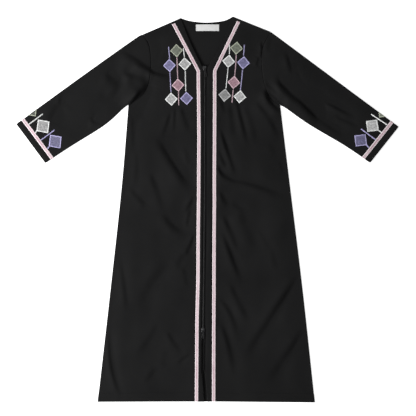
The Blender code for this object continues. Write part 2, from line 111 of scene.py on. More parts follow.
# Where each tape's edge is beside the zip's line, which the slit below the lower slider parts: height, then
# the distances of the left and right tape
TAPE_EDGES = np.array(
    (
        (-500, -4.0, 13.2),
        (-453, 0.6, 8.8),
        (-430, 1.9, 7.0),
        (-415, 2.2, 2.6),
        (-360, 3.1, 2.1),
        (-330, 3.7, 2.5),
        (-321, 3.2, 2.6),
        (-317, 2.1, 2.1),
        (-314, 0.75, 0.75),
        (366, 0.75, 0.75),
        (370, 2.0, 2.0),
        (376, 2.8, 2.8),
    )
)


def place(name, side):
    """A place on the outline, as a 2D point."""
    return np.array(PLACES[name][side], float)


def zip_x(y):
    """Where the zip's centre line is at a height."""
    return np.interp(y, ZIP_LINE[:, 0], ZIP_LINE[:, 1])


def tape_edge(side, y):
    """How far a tape's corded edge is from the zip's line."""
    return np.interp(y, TAPE_EDGES[:, 0], TAPE_EDGES[:, 1 + side])


def lengths_along(line):
    """How far along a line each of its points is."""
    return np.concatenate([[0.0], np.cumsum(np.linalg.norm(np.diff(line, axis=0), axis=1))])


def at_lengths(line, lengths, from_end=False):
    """The points of a line at lengths along it, from its start or its end."""
    along = lengths_along(line)
    lengths = along[-1] - np.asarray(lengths) if from_end else np.asarray(lengths)
    return np.stack([np.interp(lengths, along, line[:, k]) for k in range(line.shape[1])], axis=-1)


def at_shares(line, shares):
    """The points of a line at shares of its length, 0 to 1."""
    return at_lengths(line, np.asarray(shares) * lengths_along(line)[-1])


def smooth_line(points, steps):
    """A Catmull-Rom curve through the points, as steps + 1 points an equal length apart."""
    points = np.asarray(points, float)
    padded = np.vstack([2 * points[0] - points[1], points, 2 * points[-1] - points[-2]])
    t = np.linspace(0.0, 1.0, 24, endpoint=False)[:, None]
    pieces = []
    for a, b, c, d in zip(padded, padded[1:], padded[2:], padded[3:]):
        cubic = -a + 3 * b - 3 * c + d
        square = 2 * a - 5 * b + 4 * c - d
        pieces.append(0.5 * (2 * b + (c - a) * t + square * t**2 + cubic * t**3))
    return at_shares(np.vstack([*pieces, points[-1:]]), np.linspace(0.0, 1.0, steps + 1))


def distance_to(points, line):
    """For each point: its signed distance to a line, and how far along it, 0 to 1, it is."""
    best = np.full(points.shape[:-1], np.inf)
    signed = np.zeros_like(best)
    share = np.zeros_like(best)
    for i, (a, b) in enumerate(zip(line[:-1], line[1:])):
        run = b - a
        t = np.clip(((points - a) @ run) / max(run @ run, 1e-9), 0.0, 1.0)
        away = points - a - t[..., None] * run
        far = np.hypot(away[..., 0], away[..., 1])
        nearer = far < best
        best = np.where(nearer, far, best)
        signed = np.where(nearer, far * np.sign(run[0] * away[..., 1] - run[1] * away[..., 0]), signed)
        share = np.where(nearer, (i + t) / (len(line) - 1), share)
    return signed, share


def ease(t):
    """Runs smoothly from 0 to 1 as t does, and is level at both ends."""
    t = np.clip(t, 0.0, 1.0)
    return t * t * (3.0 - 2.0 * t)


def armhole(side, fine=1):
    """The armhole seam, from the underarm up to the shoulder."""
    names = ("underarm", "armhole turn", "armhole low", "armhole middle", "armhole high", "shoulder")
    return smooth_line([place(name, side) for name in names], (BUST_ROWS + NECK_ROWS) * fine)


def side_seam(side, fine=1):
    """The side seam, from the hem up to the underarm."""
    names = ("hem corner", "hip", "waist", "underarm")
    return smooth_line([place(name, side) for name in names], SEAM_ROWS * fine)


def sleeve_upper_edge(side, start, steps):
    """The fold along the top of a sleeve, from its start at the shoulder to the cuff."""
    names = ("sleeve high", "sleeve middle", "cuff high")
    return smooth_line([start, *(place(name, side) for name in names)], steps)


def sleeve_lower_edge(side, start, steps):
    """The seam under a sleeve, from its start at the underarm to the cuff."""
    names = ("sleeve bend", "sleeve low", "sleeve under", "cuff low")
    return smooth_line([start, *(place(name, side) for name in names)], steps)


def centre_heights(bend, fine):
    """The heights of the rows beside the zip, from the hem up to where a line bends into the V."""
    bust = PLACES["underarm"][LEFT][1]
    low = np.linspace(HEM_AT_ZIP, bust, SEAM_ROWS * fine + 1)
    return np.concatenate([low, np.linspace(bust, bend, BUST_ROWS * fine + 1)[1:]])


def front_line(side, heights, away, neck_points, fine):
    """A line at distances from the zip's line, which then bends and runs up beside the V neck."""
    straight = np.stack([zip_x(heights) + OUTWARD[side] * away, heights], axis=1)
    return np.vstack([straight, smooth_line([straight[-1], *neck_points], NECK_ROWS * fine)[1:]])


def band_seam(side, fine=1):
    """The seam between the front and its band."""
    heights = centre_heights(SEAM_BEND, fine)
    away = np.interp(heights, SEAM_AWAY[:, 0], SEAM_AWAY[:, 1 + side])
    return front_line(side, heights, away, [place("seam top", side)], fine)


def band_edge(side, fine=1):
    """The free edge of the band. Below the lower slider the right one is pushed aside by its tape, and near
    the hem the left one lies over its own tape as far as the tape's edge."""
    neck_points = [place("neckline middle", side), place("neck", side)]
    line = front_line(side, centre_heights(ZIP_TOP, fine), EDGE_OFFSET[side], neck_points, fine)
    heights = line[:, 1]
    tape = zip_x(heights) + OUTWARD[side] * tape_edge(side, heights)
    if side == RIGHT:
        line[:, 0] = np.where(heights < ZIP_LOW, np.maximum(line[:, 0], tape + GAP), line[:, 0])
    else:
        line[:, 0] += ease((SLIT_WIDENS - heights) / SLIT_FADE) * np.maximum(tape - line[:, 0], 0.0)
    return line


def outline(side):
    """The garment's outer edge on one side, from the middle of the hem round to the neck."""
    hem = np.array([[zip_x(HEM_AT_ZIP), HEM_AT_ZIP]])
    low = sleeve_lower_edge(side, place("underarm", side), 8)
    high = sleeve_upper_edge(side, place("shoulder", side), 8)[::-1]
    return np.vstack([hem, side_seam(side)[::4], low[1:], high, [place("neck", side)]])


# How the cloth lies
# The front is soft crepe over the back. It is thin and flat along the outline, stands a few millimetres up
# inside it, rides over the stiff zip, and has creases from being folded and from the weight of the stitching.

# The face's height at the outline, its rise inside it and how far in that takes, and the same over the zip
FACE_AT_EDGE = 2.7
PUFF = 2.2
ROLL = 28.0
PLACKET_LIFT = 1.9
PLACKET_SPREAD = 36.0

# The cloth close to the band's seam is too stiff to crease, and softens over the next stretch
STIFF_WIDTH = 8.0
STIFF_FADE = 12.0

# How gradually a trough flattens out above the layer below
TROUGH_EASE = 0.6

# A crease's unit is its width over FALL_UNITS. Its height ends CREASE_REACH units away, and CREASE_SCALE
# makes its ridge and trough about as high and as deep as its depth says.
FALL_UNITS = 1.25
CREASE_REACH = 4.0
CREASE_SCALE = 2.8

# From its start to its end a crease widens between these shares, fades in and out over these shares of its
# length, and swells by a share of its height, in waves of so many radians
CREASE_WIDENS = (0.8, 1.2)
CREASE_FADES = (0.3, 0.32)
CREASE_SWELL, CREASE_SWELL_TURN = 0.18, 9.0

OUTLINES = [outline(side) for side in (LEFT, RIGHT)]
BAND_SEAMS = [band_seam(side) for side in (LEFT, RIGHT)]

# Creases, each drawn downwards: start, middle, end, width and depth
CREASES = (
    ((-136, 190), (-90, 120), (-34, 34), 25, 3.4),
    ((-96, 258), (-106, 222), (-122, 182), 11, 0.99),
    ((-84, 272), (-86, 234), (-88, 194), 8, 0.74),
    ((-69, 270), (-60, 236), (-45, 198), 14, 1.15),
    ((-152, 98), (-134, 54), (-112, -16), 18, 1.24),
    ((-206, 58), (-180, 30), (-154, 2), 16, 1.15),
    ((-198, 262), (-194, 195), (-197, 134), 14, 0.82),
    ((-186, 158), (-184, 105), (-190, 46), 15, 0.58),
    ((-34, 38), (-46, 14), (-60, -12), 12, 1.32),
    ((-158, 264), (-184, 240), (-199, 206), 14, 0.82),
    ((-60, 168), (-52, 135), (-48, 106), 16, 0.66),
    ((-122, -4), (-90, -44), (-42, -70), 23, 2.15),
    ((-43, 4), (-50, -22), (-55, -50), 9, 0.82),
    ((-32, -60), (-45, -92), (-61, -128), 12, 1.65),
    ((-62, -112), (-72, -132), (-85, -154), 16, 0.82),
    ((-63, -146), (-58, -175), (-51, -204), 12, 0.58),
    ((-96, -132), (-146, -190), (-180, -264), 35, 2.15),
    ((-230, -116), (-217, -200), (-210, -276), 14, 0.99),
    ((-254, -296), (-249, -410), (-219, -497), 12, 1.81),
    ((-130, -288), (-152, -335), (-192, -386), 19, 0.82),
    ((-108, -312), (-88, -346), (-64, -378), 14, 0.99),
    ((-42, -372), (-62, -386), (-86, -406), 11, 0.82),
    ((-134, -408), (-150, -432), (-168, -456), 16, 0.74),
    ((-112, -364), (-113, -390), (-119, -416), 19, 0.66),
    ((72, 296), (87, 235), (107, 156), 12, 1.73),
    ((56, 280), (62, 235), (69, 182), 16, 1.15),
    ((95, 272), (113, 225), (132, 154), 18, 0.91),
    ((120, 284), (159, 237), (190, 180), 18, 1.57),
    ((29, 296), (38, 270), (49, 242), 12, 0.99),
    ((30, 220), (53, 148), (77, 80), 12, 1.98),
    ((27, 156), (38, 130), (51, 102), 11, 1.15),
    ((24, 122), (42, 88), (96, 66), 15, 2.7),
    ((60, 76), (128, 60), (218, 24), 20, 2.5),
    ((29, 52), (41, 27), (55, 5), 14, 1.32),
    ((60, 22), (80, 4), (108, -8), 16, 0.74),
    ((184, 130), (192, 110), (200, 90), 11, 0.49),
    ((161, 176), (168, 156), (177, 136), 16, 0.49),
    ((37, -10), (58, -55), (81, -116), 15, 1.57),
    ((35, -54), (62, -122), (91, -200), 15, 2.06),
    ((57, -188), (80, -240), (112, -298), 16, 1.32),
    ((22, -230), (58, -268), (81, -348), 15, 1.48),
    ((29, -288), (54, -350), (71, -442), 16, 1.81),
    ((82, 6), (100, -50), (132, -114), 30, 1.48),
    ((244, -158), (166, -276), (88, -398), 22, 2.7),
    ((250, -306), (204, -380), (146, -460), 24, 2.1),
    ((166, -100), (172, -130), (183, -164), 16, 0.58),
    ((130, -48), (148, -80), (168, -112), 16, 0.49),
    ((-230, 418), (-176, 387), (-128, 364), 34, 5.4),
    ((-192, 380), (-162, 368), (-132, 353), 14, 2.2),
    ((-160, 362), (-124, 352), (-84, 349), 17, 3.0),
    ((-226, 356), (-186, 345), (-148, 337), 20, 3.0),
    ((-212, 340), (-186, 322), (-156, 308), 30, 2.3),
    ((-155, 338), (-176, 297), (-230, 254), 22, 5.2),
    ((-172, 312), (-189, 286), (-216, 254), 12, 4.2),
    ((-270, 356), (-246, 335), (-222, 314), 30, 2.5),
    ((-375, 310), (-381, 288), (-386, 268), 12, 1.6),
    ((-380, 280), (-400, 252), (-416, 220), 27, 2.2),
    ((-280, 308), (-274, 290), (-269, 270), 24, 0.66),
    ((-308, 234), (-288, 226), (-264, 221), 15, 1.5),
    ((-163, 450), (-151, 405), (-146, 356), 7, 1.32),
    ((-153, 446), (-140, 418), (-142, 384), 22, 0.99),
    ((170, 352), (230, 291), (312, 214), 34, 5.8),
    ((176, 338), (204, 304), (240, 276), 18, 2.0),
    ((222, 292), (258, 264), (298, 222), 17, 2.0),
    ((146, 330), (164, 315), (186, 294), 11, 1.32),
    ((200, 416), (216, 366), (228, 304), 16, 1.9),
    ((210, 313), (256, 299), (316, 272), 12, 1.48),
    ((286, 288), (336, 264), (390, 234), 12, 2.15),
    ((328, 243), (358, 229), (396, 214), 12, 1.15),
    ((286, 232), (320, 212), (362, 188), 18, 1.48),
    ((150, 320), (165, 279), (203, 250), 20, 5.4),
    ((138, 440), (141, 412), (136, 392), 8, 1.32),
    ((133, 398), (130, 384), (125, 370), 9, 0.99),
    ((165, 450), (158, 428), (153, 404), 12, 0.82),
)

# Wide, low waves in the laid cloth: length, direction in degrees, start in radians and height
WAVES = (
    (148, 12, 0.4, 0.34),
    (97, -24, 2.1, 0.26),
    (63, 8, 4.4, 0.15),
    (210, 74, 1.2, 0.3),
    (41, -8, 3.0, 0.07),
)


def crease_height(points, start, middle, end, width, depth):
    """A fold that has settled along a parabola through three points: a low ridge on its left-hand side as
    the garment is seen, a fall as wide as width, and a trough. Across the fold the height is
    a / (1 + a^2)^1.5 upside down, so that both rise and trough run out gently, and the fold fades in and
    out along its way."""
    t = np.linspace(0.0, 1.0, 13)[:, None]
    start, middle, end = (np.array(p, float) for p in (start, middle, end))
    line = start * (1 - t) * (1 - 2 * t) + middle * 4 * t * (1 - t) + end * t * (2 * t - 1)
    size = width / FALL_UNITS
    reach = CREASE_REACH * size
    near = np.all((points > line.min(0) - reach) & (points < line.max(0) + reach), axis=-1)
    height = np.zeros(points.shape[:-1])
    away, along = distance_to(points[near], line)
    across = away / (size * np.interp(along, (0.0, 1.0), CREASE_WIDENS))
    fade = ease(along / CREASE_FADES[0]) * ease((1 - along) / CREASE_FADES[1])
    fade *= 1 + CREASE_SWELL * np.sin(CREASE_SWELL_TURN * along + start[0])
    shape = across / (1 + across**2) ** 1.5 * ease(1 - np.abs(across) / CREASE_REACH)
    height[near] = -CREASE_SCALE * depth * fade * shape
    return height


def face(points):
    """The height of the garment's face: low along the outline, puffed up inside it, lifted along the zip,
    creased, and a little wavy. A trough flattens where it would reach the layer below."""
    points = np.asarray(points, float)
    edge = np.min([np.abs(distance_to(points, line)[0]) for line in OUTLINES], axis=0)
    inside = 1.0 - np.exp(-((edge / ROLL) ** 2))
    stiff = np.min([np.abs(distance_to(points, line)[0]) for line in BAND_SEAMS], axis=0)
    soft = ease((stiff - STIFF_WIDTH) / STIFF_FADE)
    loose = sum(crease_height(points, *crease) for crease in CREASES)
    for length, degrees, start, high in WAVES:
        turn = np.radians(degrees)
        across = points[..., 0] * np.cos(turn) + points[..., 1] * np.sin(turn)
        loose = loose + inside * high * np.sin(2 * np.pi * across / length + start)
    from_zip = (points[..., 0] - zip_x(points[..., 1])) / PLACKET_SPREAD
    height = PUFF * inside + PLACKET_LIFT * np.exp(-(from_zip**2)) + soft * loose
    return FACE_AT_EDGE + 0.5 * (height + np.sqrt(height**2 + TROUGH_EASE**2))


# The black crepe
# A light, matt polyester crepe. Its crimped threads give a fine pebbled face with a soft sheen that shows
# on the ridges, and the dye is even, with only a faint cloudiness.

CREPE_DARK = (0.0056, 0.0056, 0.0058, 1.0)
CREPE_LIGHT = (0.0098, 0.0098, 0.01, 1.0)
CREPE_GRAIN = 0.00009


def material(name, constants):
    """A Principled material with those constant values, its node tree and its shader."""
    made = bpy.data.materials.new(name)
    made.use_nodes = True
    shader = made.node_tree.nodes["Principled BSDF"]
    for key, value in constants.items():
        shader.inputs[key].default_value = value
    return made, made.node_tree, shader


def node(tree, kind, inputs, **settings):
    """Adds a shader node. An input that is given as a socket is linked, and any other value is set."""
    made = tree.nodes.new("ShaderNode" + kind)
    for key, value in settings.items():
        setattr(made, key, value)
    for key, value in inputs.items():
        if isinstance(value, bpy.types.NodeSocket):
            tree.links.new(value, made.inputs[key])
        else:
            made.inputs[key].default_value = value
    return made


def math(tree, operation, first, second=0.0):
    """One step of arithmetic in a shader."""
    return node(tree, "Math", {0: first, 1: second}, operation=operation).outputs[0]


def own_place(tree):
    """The place of a point on the piece, in metres."""
    return node(tree, "TexCoord", {}).outputs["Object"]


def kept(tree, name):
    """A number kept on the piece's points."""
    return node(tree, "Attribute", {}, attribute_name=name).outputs["Fac"]


def noise(tree, where, scale, detail=2.0, roughness=0.5):
    """Soft random blots, 0 to 1."""
    inputs = {"Vector": where, "Scale": scale, "Detail": detail, "Roughness": roughness}
    return node(tree, "TexNoise", inputs).outputs["Fac"]


def waves(tree, where, scale, distortion, direction, detail=2.0):
    """Slightly uneven bands, 0 to 1, like threads side by side."""
    inputs = {"Vector": where, "Scale": scale, "Distortion": distortion, "Detail": detail}
    return node(tree, "TexWave", inputs, bands_direction=direction).outputs["Fac"]


def spread(tree, value, to, of=(0.0, 1.0), kind="LINEAR"):
    """A value moved from one range to another, and held at its ends."""
    inputs = {"Value": value, "From Min": of[0], "From Max": of[1], "To Min": to[0], "To Max": to[1]}
    return node(tree, "MapRange", inputs, interpolation_type=kind).outputs["Result"]


def feed(tree, shader, socket, value):
    """Links a value to one of the shader's sockets."""
    tree.links.new(value, shader.inputs[socket])


def ramp(tree, factor, *stops):
    """A colour read off a row of stops, each a position and a colour."""
    made = node(tree, "ValToRGB", {"Fac": factor})
    elements = made.color_ramp.elements
    while len(elements) < len(stops):
        elements.new(0.5)
    for element, (position, colour) in zip(elements, stops):
        element.position = position
        element.color = colour
    return made.outputs["Color"]


def put_relief(tree, shader, height, distance, strength=0.6):
    """Roughens a shader's face with a height, in metres at full strength."""
    bump = node(tree, "Bump", {"Height": height, "Distance": distance, "Strength": strength})
    feed(tree, shader, "Normal", bump.outputs["Normal"])


def crepe_cloth():
    """Pebbled grain over two crossed sets of threads; the grain also dapples the black and the gloss."""
    made, tree, shader = material(
        "black crepe",
        {
            "Specular IOR Level": 0.1,
            "Sheen Weight": 0.03,
            "Sheen Roughness": 0.4,
            "Sheen Tint": (0.75, 0.76, 0.8, 1.0),
        },
    )
    where = own_place(tree)
    grain = noise(tree, where, 1350.0, 3.0, 0.6)
    cloud = noise(tree, where, 9.0, 3.0)
    warp = waves(tree, where, 620.0, 1.6, "X", 1.0)
    weft = waves(tree, where, 560.0, 1.6, "Y", 1.0)
    threads = math(tree, "MULTIPLY", math(tree, "ADD", warp, weft), 0.35)
    tone = math(tree, "ADD", math(tree, "MULTIPLY", cloud, 0.6), math(tree, "MULTIPLY", grain, 0.4))
    feed(tree, shader, "Base Color", ramp(tree, tone, (0.32, CREPE_DARK), (0.68, CREPE_LIGHT)))
    feed(tree, shader, "Roughness", spread(tree, tone, (0.66, 0.8)))
    put_relief(tree, shader, math(tree, "ADD", grain, threads), CREPE_GRAIN)
    return made


CREPE = crepe_cloth()


# The back
# One piece of crepe from the hem to both shoulders, with a hollowed neck. It lies face down and flat, and
# its side seams roll up to meet the fronts. Its inside shows in the V of the neck.

BACK_LOW = 0.08
BACK_WALL = 1.05
BACK_LIFT = 0.35
BACK_LIFT_FADE = 4.0
BACK_ROWS = 60
BACK_COLUMNS = 44

# About how wide and long the back is, by which its round edges are sized
BACK_SPAN = (450.0, 980.0)


def filled(first, last, left, right, along, across):
    """A Coons patch: rows from the first line to the last, columns from the left line to the right.
    along has one share for each row, and across one for each point, so a row's points can crowd its ends."""
    along = np.asarray(along, float)[:, None]
    across = np.broadcast_to(across, (len(along), np.shape(across)[-1]))
    u, v = along[..., None], across[..., None]
    sides = (1 - v) * at_shares(left, along) + v * at_shares(right, along)
    ends = (1 - u) * at_shares(first, across) + u * at_shares(last, across)
    low = (1 - v) * first[0] + v * first[-1]
    high = (1 - v) * last[0] + v * last[-1]
    return sides + ends - ((1 - u) * low + u * high)


def crowded(count, span, rim):
    """Shares of a span from 0 to 1, evenly spaced, with extra ones near both ends, where an edge is round."""
    close = rim * np.array([0.0, 0.04, 0.15, 0.35, 0.65, 1.0]) / span
    return np.concatenate([close, np.linspace(close[-1], 1 - close[-1], count)[1:-1], 1 - close[::-1]])


def quads(rows, columns, around=False):
    """The faces of a grid of points, row by row; around joins the last column to the first."""
    i = np.arange(rows - 1)[:, None]
    j = np.arange(columns if around else columns - 1)[None, :]
    k = (j + 1) % columns
    corners = (i * columns + j, i * columns + k, (i + 1) * columns + k, (i + 1) * columns + j)
    return np.stack(np.broadcast_arrays(*corners), axis=-1).reshape(-1, 4)


def raised(plan, heights):
    """Plan points and their heights, as 3D points."""
    return np.concatenate([plan, np.broadcast_to(heights, plan.shape[:-1])[..., None]], axis=-1)


def rounded(away, reach):
    """A quarter circle: 0 at an edge, and 1 from a reach away from it."""
    return np.sqrt(1 - (1 - np.clip(away / reach, 0, 1)) ** 2)


SHARP_DEGREES = 50


def piece(name, points, faces, finish, slot, body="garment", stands_for=(), closed=True, values=None):
    """A new piece from points in millimetres. It rides on its body and stands for its nodes. values are
    numbers kept on the points for the material to read."""
    mesh = bpy.data.meshes.new(name)
    mesh.from_pydata((np.reshape(points, (-1, 3)) * MM).tolist(), [], faces)
    for key, numbers in (values or {}).items():
        layer = mesh.attributes.new(key, "FLOAT", "POINT")
        layer.data.foreach_set("value", np.ravel(numbers).astype(np.float32))
    if closed:
        shape = bmesh.new()
        shape.from_mesh(mesh)
        bmesh.ops.remove_doubles(shape, verts=shape.verts[:], dist=1e-7)
        bmesh.ops.recalc_face_normals(shape, faces=shape.faces[:])
        shape.to_mesh(mesh)
        shape.free()
    mesh.materials.append(finish)
    mesh.shade_smooth()
    mesh.set_sharp_from_angle(angle=np.radians(SHARP_DEGREES))
    made = bpy.data.objects.new(name, mesh)
    bpy.context.scene.collection.objects.link(made)
    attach(made, body)
    if stands_for:
        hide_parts(*stands_for)
    return made


def plate(name, plan, middle, half, finish, slot, stands_for):
    """A closed plate whose two faces lie half its wall above and below its middle height."""
    faces = quads(*plan.shape[:2])
    points = np.stack([raised(plan, middle + half), raised(plan, middle - half)]).reshape(-1, 3)
    both = np.concatenate([faces, faces[:, ::-1] + len(points) // 2])
    return piece(name, points, both.tolist(), finish, slot, stands_for=[stands_for])


def back_panel():
    """The back as a flat plate: its wall is half round at every edge, and its middle height rises where
    the side seams take it up."""
    sides = [np.vstack([side_seam(side), armhole(side)[1:]]) for side in (LEFT, RIGHT)]
    neck = smooth_line([place("neck", LEFT), *BACK_NECK, place("neck", RIGHT)], 24)
    top = np.vstack([sides[LEFT][-1:], neck, sides[RIGHT][-1:]])
    hem = np.vstack([sides[LEFT][:1], [(zip_x(HEM_AT_ZIP), HEM_AT_ZIP)], sides[RIGHT][:1]])
    rim = 0.5 * BACK_WALL
    across = crowded(BACK_COLUMNS, BACK_SPAN[0], rim)
    along = crowded(BACK_ROWS, BACK_SPAN[1], rim)
    plan = filled(hem, top, *sides, along, across)
    from_seam = np.minimum(across, 1 - across) * BACK_SPAN[0]
    half = rim * rounded(np.minimum.outer(np.minimum(along, 1 - along) * BACK_SPAN[1], from_seam), rim)
    middle = BACK_LOW + rim + BACK_LIFT * (1 - ease(from_seam / BACK_LIFT_FADE))
    return plate("back_panel", plan, middle, half, CREPE, "crepe", "back")


back = back_panel()


# The fronts
# Two flared panels of the same crepe. The hem is turned up 22 mm and stitched, the side and shoulder seams
# roll down to the back, and the armholes are sewn to the sleeves.

SHELL = 0.45
HEM_TURN = 22.0
HEM_RADIUS = 0.55
SEAM_ROLL = 1.3
FRONT_COLUMNS = 84

# How much of the side seam's roll is left along the armhole, and over how many rows it lessens to that
ARMHOLE_SHARE = 0.45
ARMHOLE_EASE = 8.0

# Beside the band seam: distance from it and drop below the face
FRONT_SEAM_SIDE = np.array([(0.2, -0.5), (0.5, -0.2), (1.0, 0.0), (3.0, 0.0)])


def roll(radius, turn=180.0, steps=6):
    """A rolled edge as distances in from the edge and drops below the face, round a circle."""
    angle = np.radians(np.linspace(0.0, turn, steps + 1))
    return np.stack([radius * (1 - np.sin(angle)), radius * (np.cos(angle) - 1)], axis=1)


# From the hem's turned-in edge round its fold and over its stitch line: distance from the fold and drop
HEM_ROWS = np.vstack(
    [
        [(away, -2 * HEM_RADIUS) for away in (HEM_TURN + 0.6, 12.0, 3.0)],
        roll(HEM_RADIUS)[::-1],
        [(1.4, 0.1), (3.0, 0.16), (10.0, 0.16), (18.0, 0.16)],
        [(20.8, 0.06), (21.6, -0.3), (22.0, -0.38), (22.5, -0.26), (24.0, 0.0)],
    ]
)
HEM_SKIP = 10
SEAM_SIDE = roll(SEAM_ROLL, 90.0, 4)


def hemmed(line):
    """A line of a panel from the hem up, with its first rows on the turned hem and its last rolled down."""
    top = at_lengths(line, SEAM_SIDE[:, 0], from_end=True)
    return np.vstack([at_lengths(line, HEM_ROWS[:, 0]), line[HEM_SKIP:-1], top])


def row_drops(rows):
    """How far each row of a hemmed panel lies below the face."""
    middle = np.zeros(rows - len(HEM_ROWS) - len(SEAM_SIDE))
    return np.concatenate([HEM_ROWS[:, 1], middle, SEAM_SIDE[:, 1]])


def between(a, b, near_a, near_b, middle):
    """Plan points from line a to line b, row by row: at near_a's distances in from a, evenly across, and at
    near_b's distances in from b."""
    run = b - a
    width = np.linalg.norm(run, axis=1)[:, None]
    first = near_a + 0 * width
    last = width - near_b
    share = np.linspace(0.0, 1.0, middle + 2)[1:-1]
    inner = first[:, -1:] + (last[:, :1] - first[:, -1:]) * share
    distance = np.concatenate([first, inner, last], axis=1)
    return a[:, None] + run[:, None] * (distance / width)[..., None]


def cloth(name, grid, stands_for, finish=CREPE, slot="crepe", top=None):
    """A thin shell: a grid of points on the cloth's outer face, with its wall added inwards. top says which
    columns face up, so that the faces can be turned the right way."""
    part = grid[:, : top or grid.shape[1]]
    across = np.diff(part, axis=1)[:-1]
    along = np.diff(part, axis=0)[:, :-1]
    if np.cross(across[..., :2], along[..., :2]).sum() < 0:
        grid = grid[:, ::-1]
    around = top is not None
    faces = quads(*grid.shape[:2], around)
    made = piece(name, grid, faces.tolist(), finish, slot, stands_for=stands_for, closed=False)
    wall = made.modifiers.new("wall", "SOLIDIFY")
    wall.thickness = SHELL * MM
    wall.offset = -1.0
    return made


def front_panel(side):
    """A ruled surface from the band seam to the side seam and armhole, laid on the face's height."""
    seam = hemmed(band_seam(side, FINE))
    outer = hemmed(np.vstack([side_seam(side, FINE), armhole(side, FINE)[1:]]))
    plan = between(seam, outer, FRONT_SEAM_SIDE[:, 0], SEAM_SIDE[:, 0], FRONT_COLUMNS)
    above_underarm = np.arange(len(plan)) - SEAM_ROWS * FINE - 2
    share = 1.0 - (1.0 - ARMHOLE_SHARE) * ease(above_underarm / ARMHOLE_EASE)[:, None]
    drop = np.tile(np.concatenate([FRONT_SEAM_SIDE[:, 1], np.zeros(FRONT_COLUMNS)]), (len(plan), 1))
    drop = np.concatenate([drop, SEAM_SIDE[:, 1] * share], axis=1)
    height = face(plan) + row_drops(len(plan))[:, None] + drop
    return cloth(f"front_panel_{SIDES[side]}", raised(plan, height), [f"front_{SIDES[side]}"])


fronts = [front_panel(side) for side in (LEFT, RIGHT)]


# The sleeves
# Each sleeve is one piece folded flat into a tube, with the fold on top and the seam under the arm. It is
# set into the armhole, tapers to the cuff, and its cuff is faced with a turned strip.

CUFF_STRIP = 17.0
STRIP_PUFF = 0.5
SLEEVE_LENGTH = 320.0
SLEEVE_LEAST = 3.2
SLEEVE_ROWS = 118
SLEEVE_COLUMNS = 44

# How far the cuff's rows run straight, how high the thick cuff lifts, and from where and over what the lift
# fades
CUFF_ROOM = 90.0
CUFF_LIFT = 1.7
CUFF_LIFT_END = 60.0
CUFF_LIFT_FADE = 90.0

# How far in from a folded edge the two layers close, and the places of the points there, as shares of that
SLEEVE_NOSE = 3.0
NOSE_SHARES = np.array([0.0, 0.03, 0.12, 0.28, 0.52, 0.8, 1.15])

# The armhole seam's turnings: how wide, from how far outside the seam, and how high between the layers
TURNING = 9.0
TURNING_START = -0.4
TURNING_HIGH = 1.75


def unit(vectors):
    """Directions of length 1."""
    return vectors / np.linalg.norm(vectors, axis=-1, keepdims=True)


def beside(line, distance):
    """A line of plan points moved sideways, to its left."""
    along = unit(np.gradient(line, axis=0))
    distance = np.asarray(distance)[..., None]
    return line + distance * np.stack([-along[:, 1], along[:, 0]], axis=-1)


def sleeve_frame(side):
    """The lines round a sleeve: the armhole, and its upper fold and underarm seam as far as the cuff."""
    head = beside(armhole(side)[::-1], GAP * OUTWARD[side])
    return head, sleeve_upper_edge(side, head[0], 80), sleeve_lower_edge(side, head[-1], 80)


SLEEVE_FRAMES = [sleeve_frame(side) for side in (LEFT, RIGHT)]


def sleeve_plan(side, from_cuff, across):
    """Plan points of a sleeve at distances from the cuff, one a row, and shares across it, 0 at the fold on
    top and 1 at the underarm seam. Near the cuff the rows are straight and a true distance from it, and
    beyond that they turn gradually into the line of the armhole."""
    head, upper, lower = SLEEVE_FRAMES[side]
    from_cuff = np.asarray(from_cuff, float)
    near = np.minimum(from_cuff, CUFF_ROOM)
    beyond = (from_cuff - near) / (SLEEVE_LENGTH - CUFF_ROOM)
    ends = []
    for line in (upper, lower):
        whole = lengths_along(line)[-1]
        ends.append(at_lengths(line, near + beyond * (whole - CUFF_ROOM), from_end=True))
    v = np.broadcast_to(across, (len(from_cuff), np.shape(across)[-1]))[..., None]
    straight = (1 - v) * ends[0][:, None] + v * ends[1][:, None]
    bow = at_shares(head, v[..., 0]) - ((1 - v) * head[0] + v * head[-1])
    return straight + beyond[:, None, None] ** 3 * bow


def sleeve_widths(side, from_cuff):
    """The flat width of a sleeve at distances from the cuff."""
    ends = sleeve_plan(side, from_cuff, np.array([0.0, 1.0]))
    return np.linalg.norm(ends[:, 1] - ends[:, 0], axis=1)


def sleeve_levels(plan, from_cuff):
    """The heights of a sleeve's outer faces: the lower layer, which the cuff lifts, and the upper one."""
    lift = CUFF_LIFT * (1.0 - ease((from_cuff - CUFF_LIFT_END) / CUFF_LIFT_FADE))
    lower = BACK_LOW + lift
    return lower, np.maximum(face(plan), SLEEVE_LEAST) + lift


def sleeve_ring(side, from_cuff, inset=0.0, proud=0.0, columns=SLEEVE_COLUMNS):
    """Loops round a flattened sleeve: over its upper layer from the fold to the underarm, and back under.
    Near both edges each layer closes along a quarter ellipse. inset, one a row, moves a loop inwards, and
    proud moves them all outwards."""
    from_cuff = np.asarray(from_cuff, float)
    inset = np.broadcast_to(inset, from_cuff.shape)[:, None] - proud
    width = sleeve_widths(side, from_cuff)[:, None]
    nose = SLEEVE_NOSE * NOSE_SHARES
    middle = np.linspace(nose[-1] / width, 1 - nose[-1] / width, columns, axis=-1)[:, 0, 1:-1]
    away = np.concatenate([nose / width + 0 * width, middle, 1 - nose[::-1] / width], axis=1)
    plan = sleeve_plan(side, from_cuff, inset / width + away * (1 - 2 * inset / width))
    closing = rounded(np.minimum(away, 1 - away) * width, SLEEVE_NOSE)
    lower, upper = sleeve_levels(plan, from_cuff[:, None])
    centre, half = 0.5 * (lower + upper), 0.5 * (upper - lower) - inset
    over = raised(plan, centre + half * closing)
    under = raised(plan, centre - half * closing)[:, 1:-1][:, ::-1]
    return np.concatenate([over, under], axis=1), over.shape[1]


